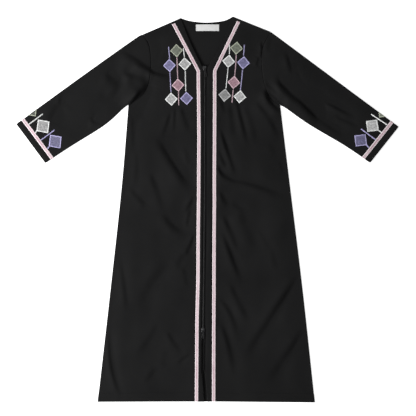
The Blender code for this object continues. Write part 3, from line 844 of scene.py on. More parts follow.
def strip_puff(from_cuff):
    """A hump over the turned cuff strip: the square of half a sine wave between its two stitched edges."""
    share = np.clip((from_cuff - 1.5) / (CUFF_STRIP - 3.0), 0.0, 1.0)
    return np.sin(np.pi * share) ** 2


def sleeve_tube(side):
    """The sleeve's tube, with the strip that is turned into the cuff and the dip of the armhole seam. Each
    row is a distance from the cuff and how far its loop lies inside the sleeve's face."""
    turned = [(away, 2 * HEM_RADIUS) for away in (CUFF_STRIP + 8.0, 7.0, 1.5)]
    fold = [(away, -drop) for away, drop in roll(HEM_RADIUS)[::-1]]
    aways = np.linspace(2.0, SLEEVE_LENGTH - 3.0, SLEEVE_ROWS)
    main = [(away, -STRIP_PUFF * strip_puff(away)) for away in aways]
    seam = [(SLEEVE_LENGTH - away, inset) for away, inset in ((1.6, 0.06), (0.7, 0.25), (0.0, 0.6))]
    rows = np.array([*turned, *fold, *main, *seam])
    ring, top = sleeve_ring(side, rows[:, 0], rows[:, 1])
    return cloth(f"sleeve_tube_{SIDES[side]}", ring, [f"sleeve_{SIDES[side]}"], top=top)


sleeves = [sleeve_tube(side) for side in (LEFT, RIGHT)]


def armhole_turnings(side):
    """The armhole seam's turnings, pressed flat inside the sleeve between its two layers. The strip follows
    the armhole and narrows to nothing at both ends."""
    line = armhole(side, FINE)[1:-1]
    steps = np.arange(len(line))
    width = TURNING * ease(np.minimum(steps, steps[::-1]) / 8.0)
    aways = [TURNING_START + (width - TURNING_START) * share for share in np.linspace(0.0, 1.0, 5)]
    plan = np.stack([beside(line, -OUTWARD[side] * away) for away in aways], axis=1)
    return cloth(f"armhole_turnings_{SIDES[side]}", raised(plan, TURNING_HIGH), [])


turnings = [armhole_turnings(side) for side in (LEFT, RIGHT)]


# The bands
# A narrow doubled band of crepe finishes the V neck and the front opening. It is sewn to the front along
# the braid, folded at its free edge beside the zip, and edge-stitched.

BAND_RISE = 0.25
BAND_FLAT = 0.08
BAND_COLUMNS = (5, 9)
EDGE_STITCH = 1.7

# Across the band beside its seam and beside its fold: distance and height, with the dip of the stitching
STITCH_DIMPLE = ((0.8, 0.04), (0.3, -0.05), (0.0, -0.12), (-0.3, -0.05))
BAND_SEAM_SIDE = np.array([(0.0, -0.65), (0.08, -0.3), (0.3, -0.08), (0.7, 0.0), (1.4, 0.06)])
BAND_FREE_SIDE = np.vstack(
    [
        [(EDGE_STITCH + away, high) for away, high in STITCH_DIMPLE],
        [(0.9, 0.02)],
        roll(HEM_RADIUS),
        [(3.2, -2 * HEM_RADIUS)],
    ]
)


def band(side):
    """A ruled strip from the band seam to the folded edge, and a little way back under it."""
    seam, edge = hemmed(band_seam(side, FINE)), hemmed(band_edge(side, FINE))
    columns = BAND_COLUMNS[side]
    plan = between(seam, edge, BAND_SEAM_SIDE[:, 0], BAND_FREE_SIDE[:, 0], columns)
    drop = np.concatenate([BAND_SEAM_SIDE[:, 1], np.full(columns, BAND_FLAT), BAND_FREE_SIDE[:, 1]])
    height = face(plan) + BAND_RISE + row_drops(len(plan))[:, None] + drop
    return cloth(f"band_strip_{SIDES[side]}", raised(plan, height), [f"band_{SIDES[side]}"])


bands = [band(side) for side in (LEFT, RIGHT)]


# The pink braid
# A flat woven braid, 9 mm wide and just under 1 mm thick, is sewn over the seam between front and band
# and round each cuff. It has two plump edges and a deeper pink plait down the middle.

BRAID_WIDTH = 9.0
BRAID_START = 0.4
BRAID_TOP = 7.5
BRAID_RISE = 0.25
BRAID_WALL = 0.85
BRAID_STEP = 0.85
WOVEN_GRAIN = 0.00012

# How long one turn of the plait is, and how many turns its strands slant by from the middle to an edge
PLAIT = 2.8
PLAIT_SLANT = 1.7
BRAID_PALE = (0.7, 0.57, 0.605, 1.0)
BRAID_EDGE = (0.79, 0.7, 0.72, 1.0)
BRAID_DEEP = (0.44, 0.25, 0.305, 1.0)

# How open the plait lies, so that its deeper pink shows: heights along the front braids and how open it is
# there, and how open it is round the cuffs
PLAIT_OPEN = ((-500, -380, -200, 60, 220, 330, 380), (1.0, 1.0, 0.5, 0.5, 0.8, 1.1, 1.5))
CUFF_PLAIT_OPEN = 1.4


def mixed(tree, share, first, second):
    """A colour that runs from the first to the second as the share does from 0 to 1."""
    return node(tree, "Mix", {0: share, 6: first, 7: second}, data_type="RGBA").outputs[2]


def braid_weave():
    """Reads the place along and across the braid from its points. The middle third is a plait of deeper
    pink, stronger in some stretches than in others, and fine slanted threads cross both edges."""
    made, tree, shader = material(
        "pink braid",
        {"Roughness": 0.62, "Specular IOR Level": 0.3, "Sheen Weight": 0.2, "Sheen Roughness": 0.5},
    )
    along, across = kept(tree, "along"), kept(tree, "across")
    aside = math(tree, "ABSOLUTE", math(tree, "SUBTRACT", across, 0.5))
    wide = math(tree, "MULTIPLY", across, BRAID_WIDTH)
    where = node(tree, "CombineXYZ", {"X": along, "Y": wide}).outputs[0]
    stretch = noise(tree, node(tree, "CombineXYZ", {"X": along}).outputs[0], 0.021)
    slub = noise(tree, where, 0.9)
    patch = spread(tree, noise(tree, where, 0.2), (0.0, 1.0), (0.36, 0.64))
    slant = math(tree, "MULTIPLY", aside, 2 * PLAIT_SLANT)
    slant = math(tree, "ADD", math(tree, "DIVIDE", along, PLAIT), slant)
    plait = math(tree, "SINE", math(tree, "MULTIPLY", slant, 2 * np.pi))
    fine = math(tree, "SINE", math(tree, "MULTIPLY", slant, 10 * np.pi))
    middle = spread(tree, aside, (0.0, 1.0), (0.32, 0.12), "SMOOTHSTEP")
    strength = spread(tree, stretch, (0.4, 1.1), (0.38, 0.66))
    strength = math(tree, "MULTIPLY", strength, kept(tree, "open"))
    woven = math(tree, "ADD", math(tree, "MULTIPLY", plait, 0.25), math(tree, "MULTIPLY", slub, 0.6))
    woven = math(tree, "ADD", woven, math(tree, "MULTIPLY", patch, 0.55))
    deep = math(tree, "MULTIPLY", math(tree, "MULTIPLY", middle, strength), woven)
    pale = ramp(tree, aside, (0.2, BRAID_PALE), (0.4, BRAID_EDGE))
    feed(tree, shader, "Base Color", mixed(tree, deep, pale, BRAID_DEEP))
    height = math(tree, "ADD", math(tree, "MULTIPLY", fine, 0.35), math(tree, "MULTIPLY", slub, 0.8))
    put_relief(tree, shader, height, WOVEN_GRAIN)
    return made


PINK_BRAID = braid_weave()

# The points across a braid, as shares of its width: half of its top, the whole top, and its underside
BRAID_HALF_TOP = np.array([0.0, 0.02, 0.06, 0.14, 0.25, 0.36, 0.44, 0.5])
BRAID_TOP_SIDE = np.concatenate([BRAID_HALF_TOP, 1 - BRAID_HALF_TOP[-2::-1]])
BRAID_UNDER_SIDE = np.array([0.9, 0.5, 0.1])

# How far the cuff's braid is off the sleeve, and how fine the loops are that it is read from
CUFF_BRAID_GAP = 0.15
CUFF_COLUMNS = 90


def braid_relief(along, share):
    """The braid's thickness at a place: full over two plump edges, thinner down the middle, and rippled by
    the plait, which slants outwards from the middle."""
    aside = np.abs(2 * share - 1)
    body = BRAID_WALL * (1 - aside**9) ** 0.5 - 0.24 * np.exp(-((aside / 0.3) ** 2))
    ripple = 0.11 * np.sin(2 * np.pi * (along / PLAIT + PLAIT_SLANT * aside)) * (1 - aside**4)
    return body + ripple


def capped(rings):
    """A tube of rings of points, as points and faces, with a flat face at each end."""
    rows, columns = rings.shape[:2]
    faces = quads(rows, columns, around=True).tolist()
    ends = [list(range(columns)), list(range((rows - 1) * columns, rows * columns))]
    return rings.reshape(-1, 3), faces + ends


def front_braid(side):
    """The braid beside the zip and the V, from the hem to just below the shoulder seam: loops over its top
    from the band's side outwards, and back flat below."""
    seam = band_seam(side, FINE)
    outer = np.vstack([side_seam(side, FINE), armhole(side, FINE)[1:]])
    outward = (outer - seam) / np.linalg.norm(outer - seam, axis=1)[:, None]
    lines = [seam + outward * (BRAID_START + k * BRAID_WIDTH) for k in (0, 1)]
    keep = [at_lengths(line, BRAID_TOP, from_end=True) for line in lines]
    lines = [np.vstack([line[:-2], end]) for line, end in zip(lines, keep)]
    lines = [raised(line, face(line) + BRAID_RISE) for line in lines]
    lengths = lengths_along(lines[0])
    along = np.linspace(0.0, lengths[-1], int(lengths[-1] / BRAID_STEP))
    inner, outer = (
        np.stack([np.interp(along, lengths, line[:, k]) for k in range(3)], axis=1)[:, None] for line in lines
    )
    shares = np.concatenate([BRAID_TOP_SIDE, BRAID_UNDER_SIDE])
    loops = inner + (outer - inner) * shares[:, None]
    loops[:, : len(BRAID_TOP_SIDE), 2] += braid_relief(along[:, None], BRAID_TOP_SIDE)
    points, faces = capped(loops)
    values = {
        "along": np.repeat(along, len(shares)),
        "across": np.tile(shares, len(along)),
        "open": np.repeat(np.interp(inner[:, 0, 1], *PLAIT_OPEN), len(shares)),
    }
    name = f"front_braid_{SIDES[side]}"
    return piece(name, points, faces, PINK_BRAID, "braid", stands_for=[f"braid_{SIDES[side]}"], values=values)


front_braids = [front_braid(side) for side in (LEFT, RIGHT)]


def cuff_braid(side):
    """The braid round a cuff: the sleeve's own loops, stood off from it and evened out to its steps."""
    rows = CUFF_STRIP + BRAID_WIDTH * BRAID_TOP_SIDE
    base, _ = sleeve_ring(side, rows, proud=CUFF_BRAID_GAP, columns=CUFF_COLUMNS)
    outer, _ = sleeve_ring(side, rows, proud=CUFF_BRAID_GAP + BRAID_WALL, columns=CUFF_COLUMNS)
    steps = np.linalg.norm(np.diff(base[:, [*range(base.shape[1]), 0]], axis=1), axis=2)[len(rows) // 2]
    along = np.concatenate([[0.0], np.cumsum(steps)[:-1]])
    count = int(steps.sum() / BRAID_STEP)
    at = np.linspace(0.0, steps.sum(), count, endpoint=False)
    closed = np.append(along, steps.sum())

    def finer(loops):
        """The loops again, with even steps all round."""
        whole = np.concatenate([loops, loops[:, :1]], axis=1)
        return np.stack([[np.interp(at, closed, row[:, k]) for row in whole] for k in range(3)], axis=-1)

    base, outer = finer(base), finer(outer)
    share = (braid_relief(at[None, :], BRAID_TOP_SIDE[:, None]) / BRAID_WALL)[..., None]
    top = base + (outer - base) * share
    loops = np.concatenate([top, base[1:-1][::-1]], axis=0)
    rows_round = loops.shape[0]
    faces = quads(rows_round, count, around=True)
    wrap = quads(2, count, around=True)
    wrap = np.where(wrap < count, wrap + (rows_round - 1) * count, wrap - count)
    shares = np.concatenate([BRAID_TOP_SIDE, BRAID_TOP_SIDE[1:-1][::-1]])
    values = {
        "along": np.tile(at, rows_round),
        "across": np.repeat(shares, count),
        "open": np.full(rows_round * count, CUFF_PLAIT_OPEN),
    }
    name, stands_for = f"cuff_trim_{SIDES[side]}", [f"cuff_braid_{SIDES[side]}"]
    faces = [*faces.tolist(), *wrap.tolist()]
    return piece(name, loops, faces, PINK_BRAID, "braid", stands_for=stands_for, values=values)


cuff_braids = [cuff_braid(side) for side in (LEFT, RIGHT)]


# The zip tapes
# Two woven polyester tapes are sewn under the bands. Each has a corded edge that carries one half of the
# coil. The edges meet between the sliders, and lie open below the lower one.

TAPE_FAR = 15.0
TAPE_FOOT = -499.6
TAPE_END = 375.0
TAPE_STEP = 4.0
TAPE_DROP = 1.5
TAPE_LEAST = 2.5
TAPE_WALL = 0.5

# How far the open tapes sag below the lower slider, and from how far below it and over what height
TAPE_SAG = 1.8
SAG_START = 10.0
SAG_FADE = 40.0
# The tape's two tones: its own black, set darker than the crepe as painted shade for the gaps beside the coil
# and in the slit
TAPE_BLACK_AND_SHADE = (0.0035, 0.0035, 0.0037, 1.0)
TAPE_FLECK_AND_SHADE = (0.0065, 0.0065, 0.0068, 1.0)

# Across a tape from its corded edge: how far from the edge, and how high its upper and lower faces are there
TAPE_ACROSS = np.array(
    (
        (0.0, -0.25, -0.25),
        (0.06, -0.06, -0.44),
        (0.3, 0.12, -0.62),
        (0.9, 0.12, -0.62),
        (1.3, -0.1, -0.64),
        (2.4, -0.6, -1.1),
        (4.0, -0.7, -1.2),
    )
)


def tape_weave():
    """A close twill: slanted ribs on the face, with a faint variation from thread to thread."""
    made, tree, shader = material("zip tape", {"Roughness": 0.72, "Specular IOR Level": 0.1})
    where = own_place(tree)
    # Painted shade: both tones are darker than the tape's black alone
    colour = ramp(tree, noise(tree, where, 900.0), (0.3, TAPE_BLACK_AND_SHADE), (0.7, TAPE_FLECK_AND_SHADE))
    feed(tree, shader, "Base Color", colour)
    put_relief(tree, shader, waves(tree, where, 480.0, 0.6, "DIAGONAL"), WOVEN_GRAIN)
    return made


ZIP_TAPE = tape_weave()


def tape_level(plan):
    """How high the tapes lie under the bands. Where they are open below the lower slider, they sag."""
    sag = TAPE_SAG * ease((ZIP_LOW - SAG_START - plan[..., 1]) / SAG_FADE)
    return np.maximum(face(plan) - TAPE_DROP - sag, TAPE_LEAST)


def joined(parts):
    """Several sets of points and faces as one."""
    points, faces, start = [], [], 0
    for more_points, more_faces in parts:
        points.append(more_points)
        faces += [[k + start for k in face_points] for face_points in more_faces]
        start += len(more_points)
    return np.concatenate(points), faces


def zip_tape(side):
    """Loops across the tape: a cord at its inner edge, then flat. It keeps a little below the band."""
    steps = np.arange(TAPE_FOOT, TAPE_END, TAPE_STEP)
    y = np.unique(np.concatenate([steps, TAPE_EDGES[1:-1, 0], [TAPE_END]]))
    inner = tape_edge(side, y)[:, None]
    flat = inner + TAPE_ACROSS[-1, 0]
    away = np.concatenate([inner + TAPE_ACROSS[:, 0], flat + (TAPE_FAR - flat) * [[0.5, 1.0]]], axis=1)
    over, under = (np.append(TAPE_ACROSS[:, k], 2 * [level]) for k, level in ((1, 0.0), (2, -TAPE_WALL)))
    plan = np.stack(np.broadcast_arrays(zip_x(y)[:, None] + OUTWARD[side] * away, y[:, None]), axis=-1)
    level = tape_level(plan)
    top = raised(plan, level + over)
    below = raised(plan, level + under)[:, ::-1]
    points, faces = capped(np.concatenate([top, below], axis=1))
    name = f"zip_tape_cloth_{SIDES[side]}"
    return piece(name, points, faces, ZIP_TAPE, "zip_tape", stands_for=[f"zip_tape_{SIDES[side]}"])


zip_tapes = [zip_tape(side) for side in (LEFT, RIGHT)]


# The coil
# A nylon wire is wound into a flattened helix along each tape's edge and sewn down. The two helices are half
# a turn out of step, so that their heads mesh. Small dull stops are pressed over their ends.

COIL_PITCH = 1.5
COIL_STEPS = 8
COIL_SIDES = 5
COIL_WIRE = 0.3
COIL_SEAT = 0.4
COIL_RISE = 0.6
COIL_HALF_HEIGHT = 0.35
COIL_ENDS = (-494.0, 373.4)
STOP_HALF = (1.35, 1.3, 0.85)

# How much the coil leans down to its outer side, and what share of its pitch it gains under the tape's edge
COIL_SLOPE = 0.3
COIL_LEAN = 0.13

NYLON_DARK = (0.012, 0.012, 0.0125, 1.0)
NYLON_LIGHT = (0.024, 0.024, 0.0245, 1.0)

# Half the coil's width along the zip, with a squeeze where it passes each slider's post
COIL_HALF_WIDTHS = np.array(
    (
        (-322, 1.25),
        (-318.5, 0.75),
        (-316, 0.75),
        (-313, 1.25),
        (365, 1.25),
        (369, 0.75),
        (375, 0.85),
    )
)


def coil_nylon():
    """Smooth black nylon with a low gloss and slight unevenness from turn to turn."""
    made, tree, shader = material(
        "zip coil",
        {"Specular IOR Level": 0.5, "Coat Weight": 0.15, "Coat Roughness": 0.25},
    )
    turns = noise(tree, own_place(tree), 420.0)
    feed(tree, shader, "Base Color", ramp(tree, turns, (0.3, NYLON_DARK), (0.7, NYLON_LIGHT)))
    feed(tree, shader, "Roughness", spread(tree, turns, (0.32, 0.5)))
    return made


NYLON = coil_nylon()


def tube(path, hint, radii, sides):
    """Rings round a path. hint is a direction at each point that isn't along the path, and radii are the
    half widths across the hint and along it."""
    along = unit(np.gradient(path, axis=0))
    across = unit(np.cross(along, hint))
    up = np.cross(across, along)
    angle = 2 * np.pi * np.arange(sides) / sides
    ring = across[:, None] * np.cos(angle)[None, :, None] * radii[0]
    return path[:, None] + ring + up[:, None] * np.sin(angle)[None, :, None] * radii[1]


def coil_level(side, y):
    """The height of the coil's middle, from coarse rows along the tape's edge."""
    rows = np.linspace(-500.0, 376.0, 300)
    edge = zip_x(rows) + OUTWARD[side] * tape_edge(side, rows)
    return np.interp(y, rows, tape_level(np.stack([edge, rows], axis=1)) + COIL_RISE)


def half_coil(side):
    """The helix: cosine across, and sine up and down, sloped down to its outer side. It gains most of its
    pitch at the tape's edge, so that the bars on top lie nearly square across."""
    turns = int((COIL_ENDS[1] - COIL_ENDS[0]) / COIL_PITCH) - side
    angle = 2 * np.pi * np.arange(turns * COIL_STEPS + 1) / COIL_STEPS
    y = COIL_ENDS[0] + COIL_PITCH * (angle / (2 * np.pi) + COIL_LEAN * np.cos(angle) + 0.5 * side)
    half = np.interp(y, COIL_HALF_WIDTHS[:, 0], COIL_HALF_WIDTHS[:, 1])
    away = tape_edge(side, y) + COIL_SEAT + half * np.cos(angle)
    z = coil_level(side, y) + COIL_HALF_HEIGHT * np.sin(angle) - COIL_SLOPE * half * np.cos(angle)
    path = np.stack([zip_x(y) + OUTWARD[side] * away, y, z], axis=1)
    hint = np.stack([OUTWARD[side] * np.cos(angle), 0 * angle, np.sin(angle)], axis=1)
    points, faces = capped(tube(path, hint, (COIL_WIRE, COIL_WIRE), COIL_SIDES))
    return piece(f"coil_{SIDES[side]}", points, faces, NYLON, "zip_coil", stands_for=["zip_coil"])


coils = [half_coil(side) for side in (LEFT, RIGHT)]


def squared(angle, power):
    """Points round a circle that is drawn out towards a square as the power falls from 1 to 0."""
    return [np.sign(k) * np.abs(k) ** power for k in (np.cos(angle), np.sin(angle))]


def pebble(middle, half):
    """A small rounded block: rings along it whose size follows a superellipse."""
    share = np.sin(np.linspace(-0.5, 0.5, 9) * np.pi)
    size = (1 - np.abs(share) ** 3.5) ** (1 / 3.5)
    square = squared(2 * np.pi * np.arange(12) / 12, 0.55)
    x, z = (half[k] * flat * np.maximum(size, 0.3)[:, None] for k, flat in zip((0, 2), square))
    y = half[1] * share[:, None] + 0 * x
    return capped(np.stack([x, y, z], axis=-1) + np.asarray(middle))


def coil_stops():
    """A stop on each end of each half of the coil."""
    parts = []
    for side in (LEFT, RIGHT):
        for y in (COIL_ENDS[0] - 0.4, COIL_ENDS[1]):
            x = zip_x(y) + OUTWARD[side] * (tape_edge(side, y) + COIL_SEAT + 0.1)
            parts.append(pebble((x, y, coil_level(side, y)), STOP_HALF))
    return piece("coil_stops", *joined(parts), ZIP_TAPE, "zip_coil")


stops = coil_stops()


# The sliders and their pulls
# Two cast zinc sliders with black lacquer close the zip from both ends, with their front ends outwards.
# A pull tab swings on each slider's arch, and its eye goes round the arch's rear leg.

SLIDER_HALF = (4.2, 5.5)
SLIDER_WAIST = 3.6
SLIDER_LEVEL = 1.2
SLIDER_CROWN = 2.1

# Each end of a slider is round over this length, and that much narrower and lower at its very end
NOSE_LONG = 1.8
NOSE_NARROWER = 1.5
NOSE_LOWER = 0.5

# Across the top plate, one flange outside and inside: distance in from its edge and height
FLANGE = ((0.0, 0.1), (0.0, 1.3), (0.12, 1.75), (0.45, 2.02), (1.1, 2.1))
FLANGE_INSIDE = ((0.9, 1.2), (0.9, 0.1))
TOP_SECTION = np.array(
    [(-1, *spot) for spot in FLANGE]
    + [(0, 0.0, 2.22)]
    + [(1, *spot) for spot in (*FLANGE[::-1], *FLANGE_INSIDE[::-1])]
    + [(-1, *spot) for spot in FLANGE_INSIDE]
)

# The bottom plate's middle height and half wall; the post's half width and half length, place and ends
BOTTOM_LEVEL, BOTTOM_HALF = -2.25, 0.45
POST_HALF = (1.2, 0.9)
POST_PLACE = 4.3
POST_ENDS = (-2.0, 1.6)

# The arch: half its length, its feet's height and its rise, half its wire's width and height, and the room
# under it; and above what height it is worn
ARCH_HALF = 2.1
ARCH_FOOT = 1.8
ARCH_RISE = 2.6
ARCH_WIRE = (0.4, 0.6)
ARCH_ROOM = 1.9
ARCH_WORN = 4.2

# The pull's eye: the half sizes and the middles of its hole and its outline; and from the hole to the
# outline, shares of the way and the height of its upper face
PULL_LENGTH = 23.0
EYE_HOLE = ((1.4, 1.5), (0.0, -2.0))
EYE_OUTLINE = ((2.6, 2.8), (0.0, -2.3))
EYE_TOP = np.array(((0.0, 0.0), (0.08, 0.38), (0.22, 0.5), (0.78, 0.5), (0.92, 0.38), (1.0, 0.0)))

# The pull's blade: where it starts, its half width from its end to its start, and from its edge inwards,
# distance and height
BLADE_START = 4.3
BLADE_HALF = ((-23.0, -19.5, -7.2, -4.3), (2.6, 2.6, 2.2, 2.6))
BLADE_EDGE = np.array(((0.0, 0.0), (0.1, 0.36), (0.3, 0.5), (0.75, 0.5), (0.95, 0.5)))
BLADE_SUNK = 0.16

# How far the top pull is turned to the photo's place
TOP_PULL_TURN = 10.0

# The lacquer's black and its worn grey, as shares of the bare metal's tone
LACQUER_BLACK = np.array((0.4, 0.4, 0.42))
LACQUER_WORN = np.array((2.3, 2.3, 2.4))


def lacquered_zinc(name, shiny, bare, least_rough):
    """Black lacquer over grey zinc: an even gloss with faint scratches, worn a little on raised edges."""
    made, tree, shader = material(
        name,
        {
            "Metallic": 0.35 * shiny,
            "Specular IOR Level": 0.5 * shiny,
            "Coat Weight": 0.35 * shiny,
            "Coat Roughness": 0.2,
        },
    )
    where = own_place(tree)
    cloud = noise(tree, where, 260.0, 4.0)
    wear = math(tree, "MULTIPLY", kept(tree, "worn"), spread(tree, cloud, (0.0, 1.0), (0.42, 0.62)))
    black, grey = (*(bare * LACQUER_BLACK), 1.0), (*(bare * LACQUER_WORN), 1.0)
    feed(tree, shader, "Base Color", ramp(tree, wear, (0.0, black), (1.0, grey)))
    feed(tree, shader, "Roughness", spread(tree, cloud, (least_rough, least_rough + 0.2)))
    put_relief(tree, shader, noise(tree, where, 1500.0), 0.00002, 0.4)
    return made


LACQUER = lacquered_zinc("glossy black lacquer", 1.0, 0.055, 0.26)
DULL_LACQUER = lacquered_zinc("dull black lacquer", 0.3, 0.014, 0.5)


def grid_of(x, y, z):
    """Points from their three measures, each spread over the whole grid."""
    return np.stack(np.broadcast_arrays(x, y, z), axis=-1)


def slider(name, y, front):
    """A channel-shaped top plate, a bottom plate, the post between them at the front end, and the arch.
    Both plates are wide at the front end, narrow behind, and round at both ends."""
    x = float(zip_x(y))
    level = float(face(np.array([[x, y]]))[0]) - SLIDER_LEVEL
    half, long = SLIDER_HALF
    at = long * np.sin(np.linspace(-0.5, 0.5, 25) * np.pi)
    flare = SLIDER_WAIST + (half - SLIDER_WAIST) * ease((front * at + long) / (1.1 * long))
    nose = 1 - rounded(long - np.abs(at), NOSE_LONG)
    wide = (flare - NOSE_NARROWER * nose)[:, None]
    sign, inset, height = TOP_SECTION.T
    lower = NOSE_LOWER * nose[:, None] * (height > FLANGE[1][1])
    top = grid_of(sign * (wide - inset), at[:, None], height - lower)
    angle = 2 * np.pi * np.arange(16) / 16
    across, up = squared(angle, 0.3)
    bottom = grid_of(wide * across, at[:, None], BOTTOM_LEVEL + BOTTOM_HALF * up)
    along = front * POST_PLACE + POST_HALF[1] * np.sin(angle)
    post = grid_of(POST_HALF[0] * np.cos(angle), along, np.linspace(*POST_ENDS, 4)[:, None])
    bent, risen = squared(np.linspace(0, np.pi, 25), 0.55)
    path = grid_of(0.0, -ARCH_HALF * bent, ARCH_FOOT + ARCH_RISE * risen)
    arch = tube(path, np.array([1.0, 0.0, 0.0]), ARCH_WIRE, 10)
    edge_worn = np.where(inset == FLANGE[3][0], 1.0, 0.0) + 0 * wide
    arch_worn = np.where(path[:, 2] > ARCH_WORN, 0.7, 0.0)[:, None] + 0 * arch[..., 0]
    marks = [edge_worn, 0 * bottom[..., 0], 0 * post[..., 0], arch_worn]
    points, faces = joined([capped(ring) for ring in (top, bottom, post, arch)])
    points = points + np.array([x, y, level])
    values = {"worn": np.concatenate([mark.ravel() for mark in marks])}
    piece(f"{name}_body", points, faces, LACQUER, "slider_metal", stands_for=[name], values=values)
    return x, level + SLIDER_CROWN + 0.5 * ARCH_ROOM


def pull(name, body, x, y, z, turn):
    """An eye, as a flat ring with rounded edges, and a blade with a raised rim round a sunk middle."""
    square = np.stack(squared(2 * np.pi * np.arange(32) / 32, 0.62), axis=1)
    inner, outer = (square * half + middle for half, middle in (EYE_HOLE, EYE_OUTLINE))
    share, high = np.vstack([EYE_TOP, EYE_TOP[-2:0:-1] * (1, -1)]).T
    eye = raised(inner + (outer - inner) * share[:, None, None], high[:, None])
    faces = quads(len(share) + 1, len(square), around=True) % (len(share) * len(square))
    stations = -BLADE_START - (PULL_LENGTH - BLADE_START) * 0.5 * (1 - np.cos(np.linspace(0, np.pi, 41)))
    half = (np.interp(stations, *BLADE_HALF) - 1.4 * (1 - rounded(stations + PULL_LENGTH, 1.6)))[:, None]
    inset, level = BLADE_EDGE.T
    across = np.concatenate([-half + inset, half - inset[::-1]], axis=1)
    sunk = BLADE_SUNK * ease((-stations - 5.2) / 0.6) * ease((stations + PULL_LENGTH - 0.7) / 0.6)
    in_middle = np.abs(np.arange(2 * len(level)) - len(level) + 0.5) < 1
    over = grid_of(across, stations[:, None], np.append(level, level[::-1]) - sunk[:, None] * in_middle)
    under = (over * (1, 1, -1))[:, 1:-1][:, ::-1]
    blade = np.concatenate([over, under], axis=1)
    worn = np.zeros(blade.shape[:2])
    worn[:, [1, 2, 7, 8]] = 0.9
    points, faces = joined([(eye.reshape(-1, 3), faces.tolist()), capped(blade)])
    turn = np.radians(turn)
    spin = np.array([(np.cos(turn), np.sin(turn), 0), (-np.sin(turn), np.cos(turn), 0), (0, 0, 1)])
    edge = np.repeat(np.where((share == EYE_TOP[4, 0]) & (high > 0), 0.8, 0.0), len(square))
    values = {"worn": np.concatenate([edge, worn.ravel()])}
    points = points @ spin + np.array([x, y, z])
    piece(f"{name}_tab", points, faces, DULL_LACQUER, "slider_metal", body, [name], values=values)


ZIP_ENDS = (("top", "upper_pull", ZIP_TOP, 1, TOP_PULL_TURN), ("low", "lower_pull", ZIP_LOW, -1, 0.0))
for end, body, y, front, turn in ZIP_ENDS:
    x, z = slider(f"slider_{end}", y, front)
    pull(f"pull_{end}", body, x, y, z, turn)


# The label
# A bare tab of white woven satin, cut with heat and sewn to the back's inside by its two ends, just below
# the neck. It lies nearly flat, bowed up a little between its ends.

LABEL_SIZE = (60.0, 17.0)
LABEL_PLACE = (0.0, 472.5)
LABEL_WALL = 0.35
LABEL_LEVEL = BACK_LOW + BACK_WALL + 0.35

# Over what length from each end the label bows up, how high, and how much higher or lower it ripples there
BOW_LONG = 14.0
BOW_HIGH = 0.8
BOW_RIPPLE = 0.2

SATIN_SHADE = (0.66, 0.66, 0.66, 1.0)
SATIN_LIGHT = (0.72, 0.72, 0.715, 1.0)


def label_satin():
    """Fine ribs along the label with a soft sheen."""
    made, tree, shader = material(
        "white satin",
        {"Specular IOR Level": 0.4, "Sheen Weight": 0.15, "Sheen Roughness": 0.4},
    )
    where = own_place(tree)
    ribs = waves(tree, where, 420.0, 0.8, "Y")
    colour = ramp(tree, noise(tree, where, 60.0), (0.3, SATIN_SHADE), (0.7, SATIN_LIGHT))
    feed(tree, shader, "Base Color", colour)
    feed(tree, shader, "Roughness", spread(tree, ribs, (0.42, 0.6)))
    put_relief(tree, shader, ribs, 0.00008)
    return made


def label():
    """A thin closed plate: rounded all round, sewn down at its ends and bowed up between them."""
    rim = 0.5 * LABEL_WALL
    u, v = (crowded(count, span, rim) for count, span in zip((40, 14), LABEL_SIZE))
    from_ends, from_sides = (np.minimum(share, 1 - share) * span for share, span in zip((u, v), LABEL_SIZE))
    half = rim * rounded(np.minimum.outer(from_sides, from_ends), rim)
    x = LABEL_PLACE[0] + (u - 0.5) * LABEL_SIZE[0]
    y = LABEL_PLACE[1] + (v[:, None] - 0.5) * LABEL_SIZE[1]
    ripple = BOW_RIPPLE * np.sin(0.21 * x + 0.9) * (v[:, None] - 0.2)
    middle = LABEL_LEVEL + ease(from_ends / BOW_LONG) * (BOW_HIGH + ripple)
    plan = np.stack(np.broadcast_arrays(x, y), axis=-1)
    return plate("label_tab", plan, middle, half, label_satin(), "label", "label")


neck_label = label()


# The stitching
# Lock stitches, 3 mm long, in black polyester thread on the crepe, and in pale pink along the braids' edges.
# Each stitch lies on the cloth and dips into it at both ends.

STITCH = 3.0
STITCH_AT = np.array([-0.44, -0.32, 0.0, 0.32, 0.44])
STITCH_SIZE = np.array([0.35, 0.85, 1.0, 0.85, 0.35])
STITCH_DIP = np.array([-0.16, -0.03, 0.03, -0.03, -0.16])
STITCH_SIDES = 5

# How far the rows on the hem stop short of its corners, and how deep they and the bands' rows sink in
HEM_STITCH_SHORT = 4.0
HEM_STITCH_SUNK = 0.1
BAND_STITCH_SUNK = 0.06

# How far in from a braid's edge its row is, where it starts at the hem, and at what share of its wall it lies
BRAID_STITCH_IN = 0.9
BRAID_STITCH_FOOT = -497.0
BRAID_STITCH_LEVEL = 0.97

# The neck hem's row: how far from the edge. The label's rows: half their distance and half their length
NECK_STITCH_IN = 5.0
LABEL_STITCHES = (27.5, 7.7)
STITCH_CLEAR = 0.02


def thread(name, dark, light, gloss, sheen):
    """A twisted thread with a slight sheen: fine flecks between two tones."""
    made, tree, shader = material(
        name,
        {"Specular IOR Level": gloss, "Sheen Weight": sheen, "Sheen Roughness": 0.3},
    )
    twist = waves(tree, own_place(tree), 900.0, 1.0, "DIAGONAL")
    feed(tree, shader, "Base Color", ramp(tree, twist, (0.2, dark), (0.8, light)))
    feed(tree, shader, "Roughness", spread(tree, twist, (0.42, 0.58)))
    return made


BLACK_THREAD = thread("black thread", (0.004, 0.004, 0.0042, 1.0), (0.009, 0.009, 0.0095, 1.0), 0.15, 0.02)
PINK_THREAD = thread("pink thread", (0.5, 0.39, 0.42, 1.0), (0.64, 0.53, 0.56, 1.0), 0.4, 0.2)
WHITE_THREAD = thread("white thread", (0.45, 0.45, 0.45, 1.0), (0.56, 0.56, 0.56, 1.0), 0.4, 0.2)


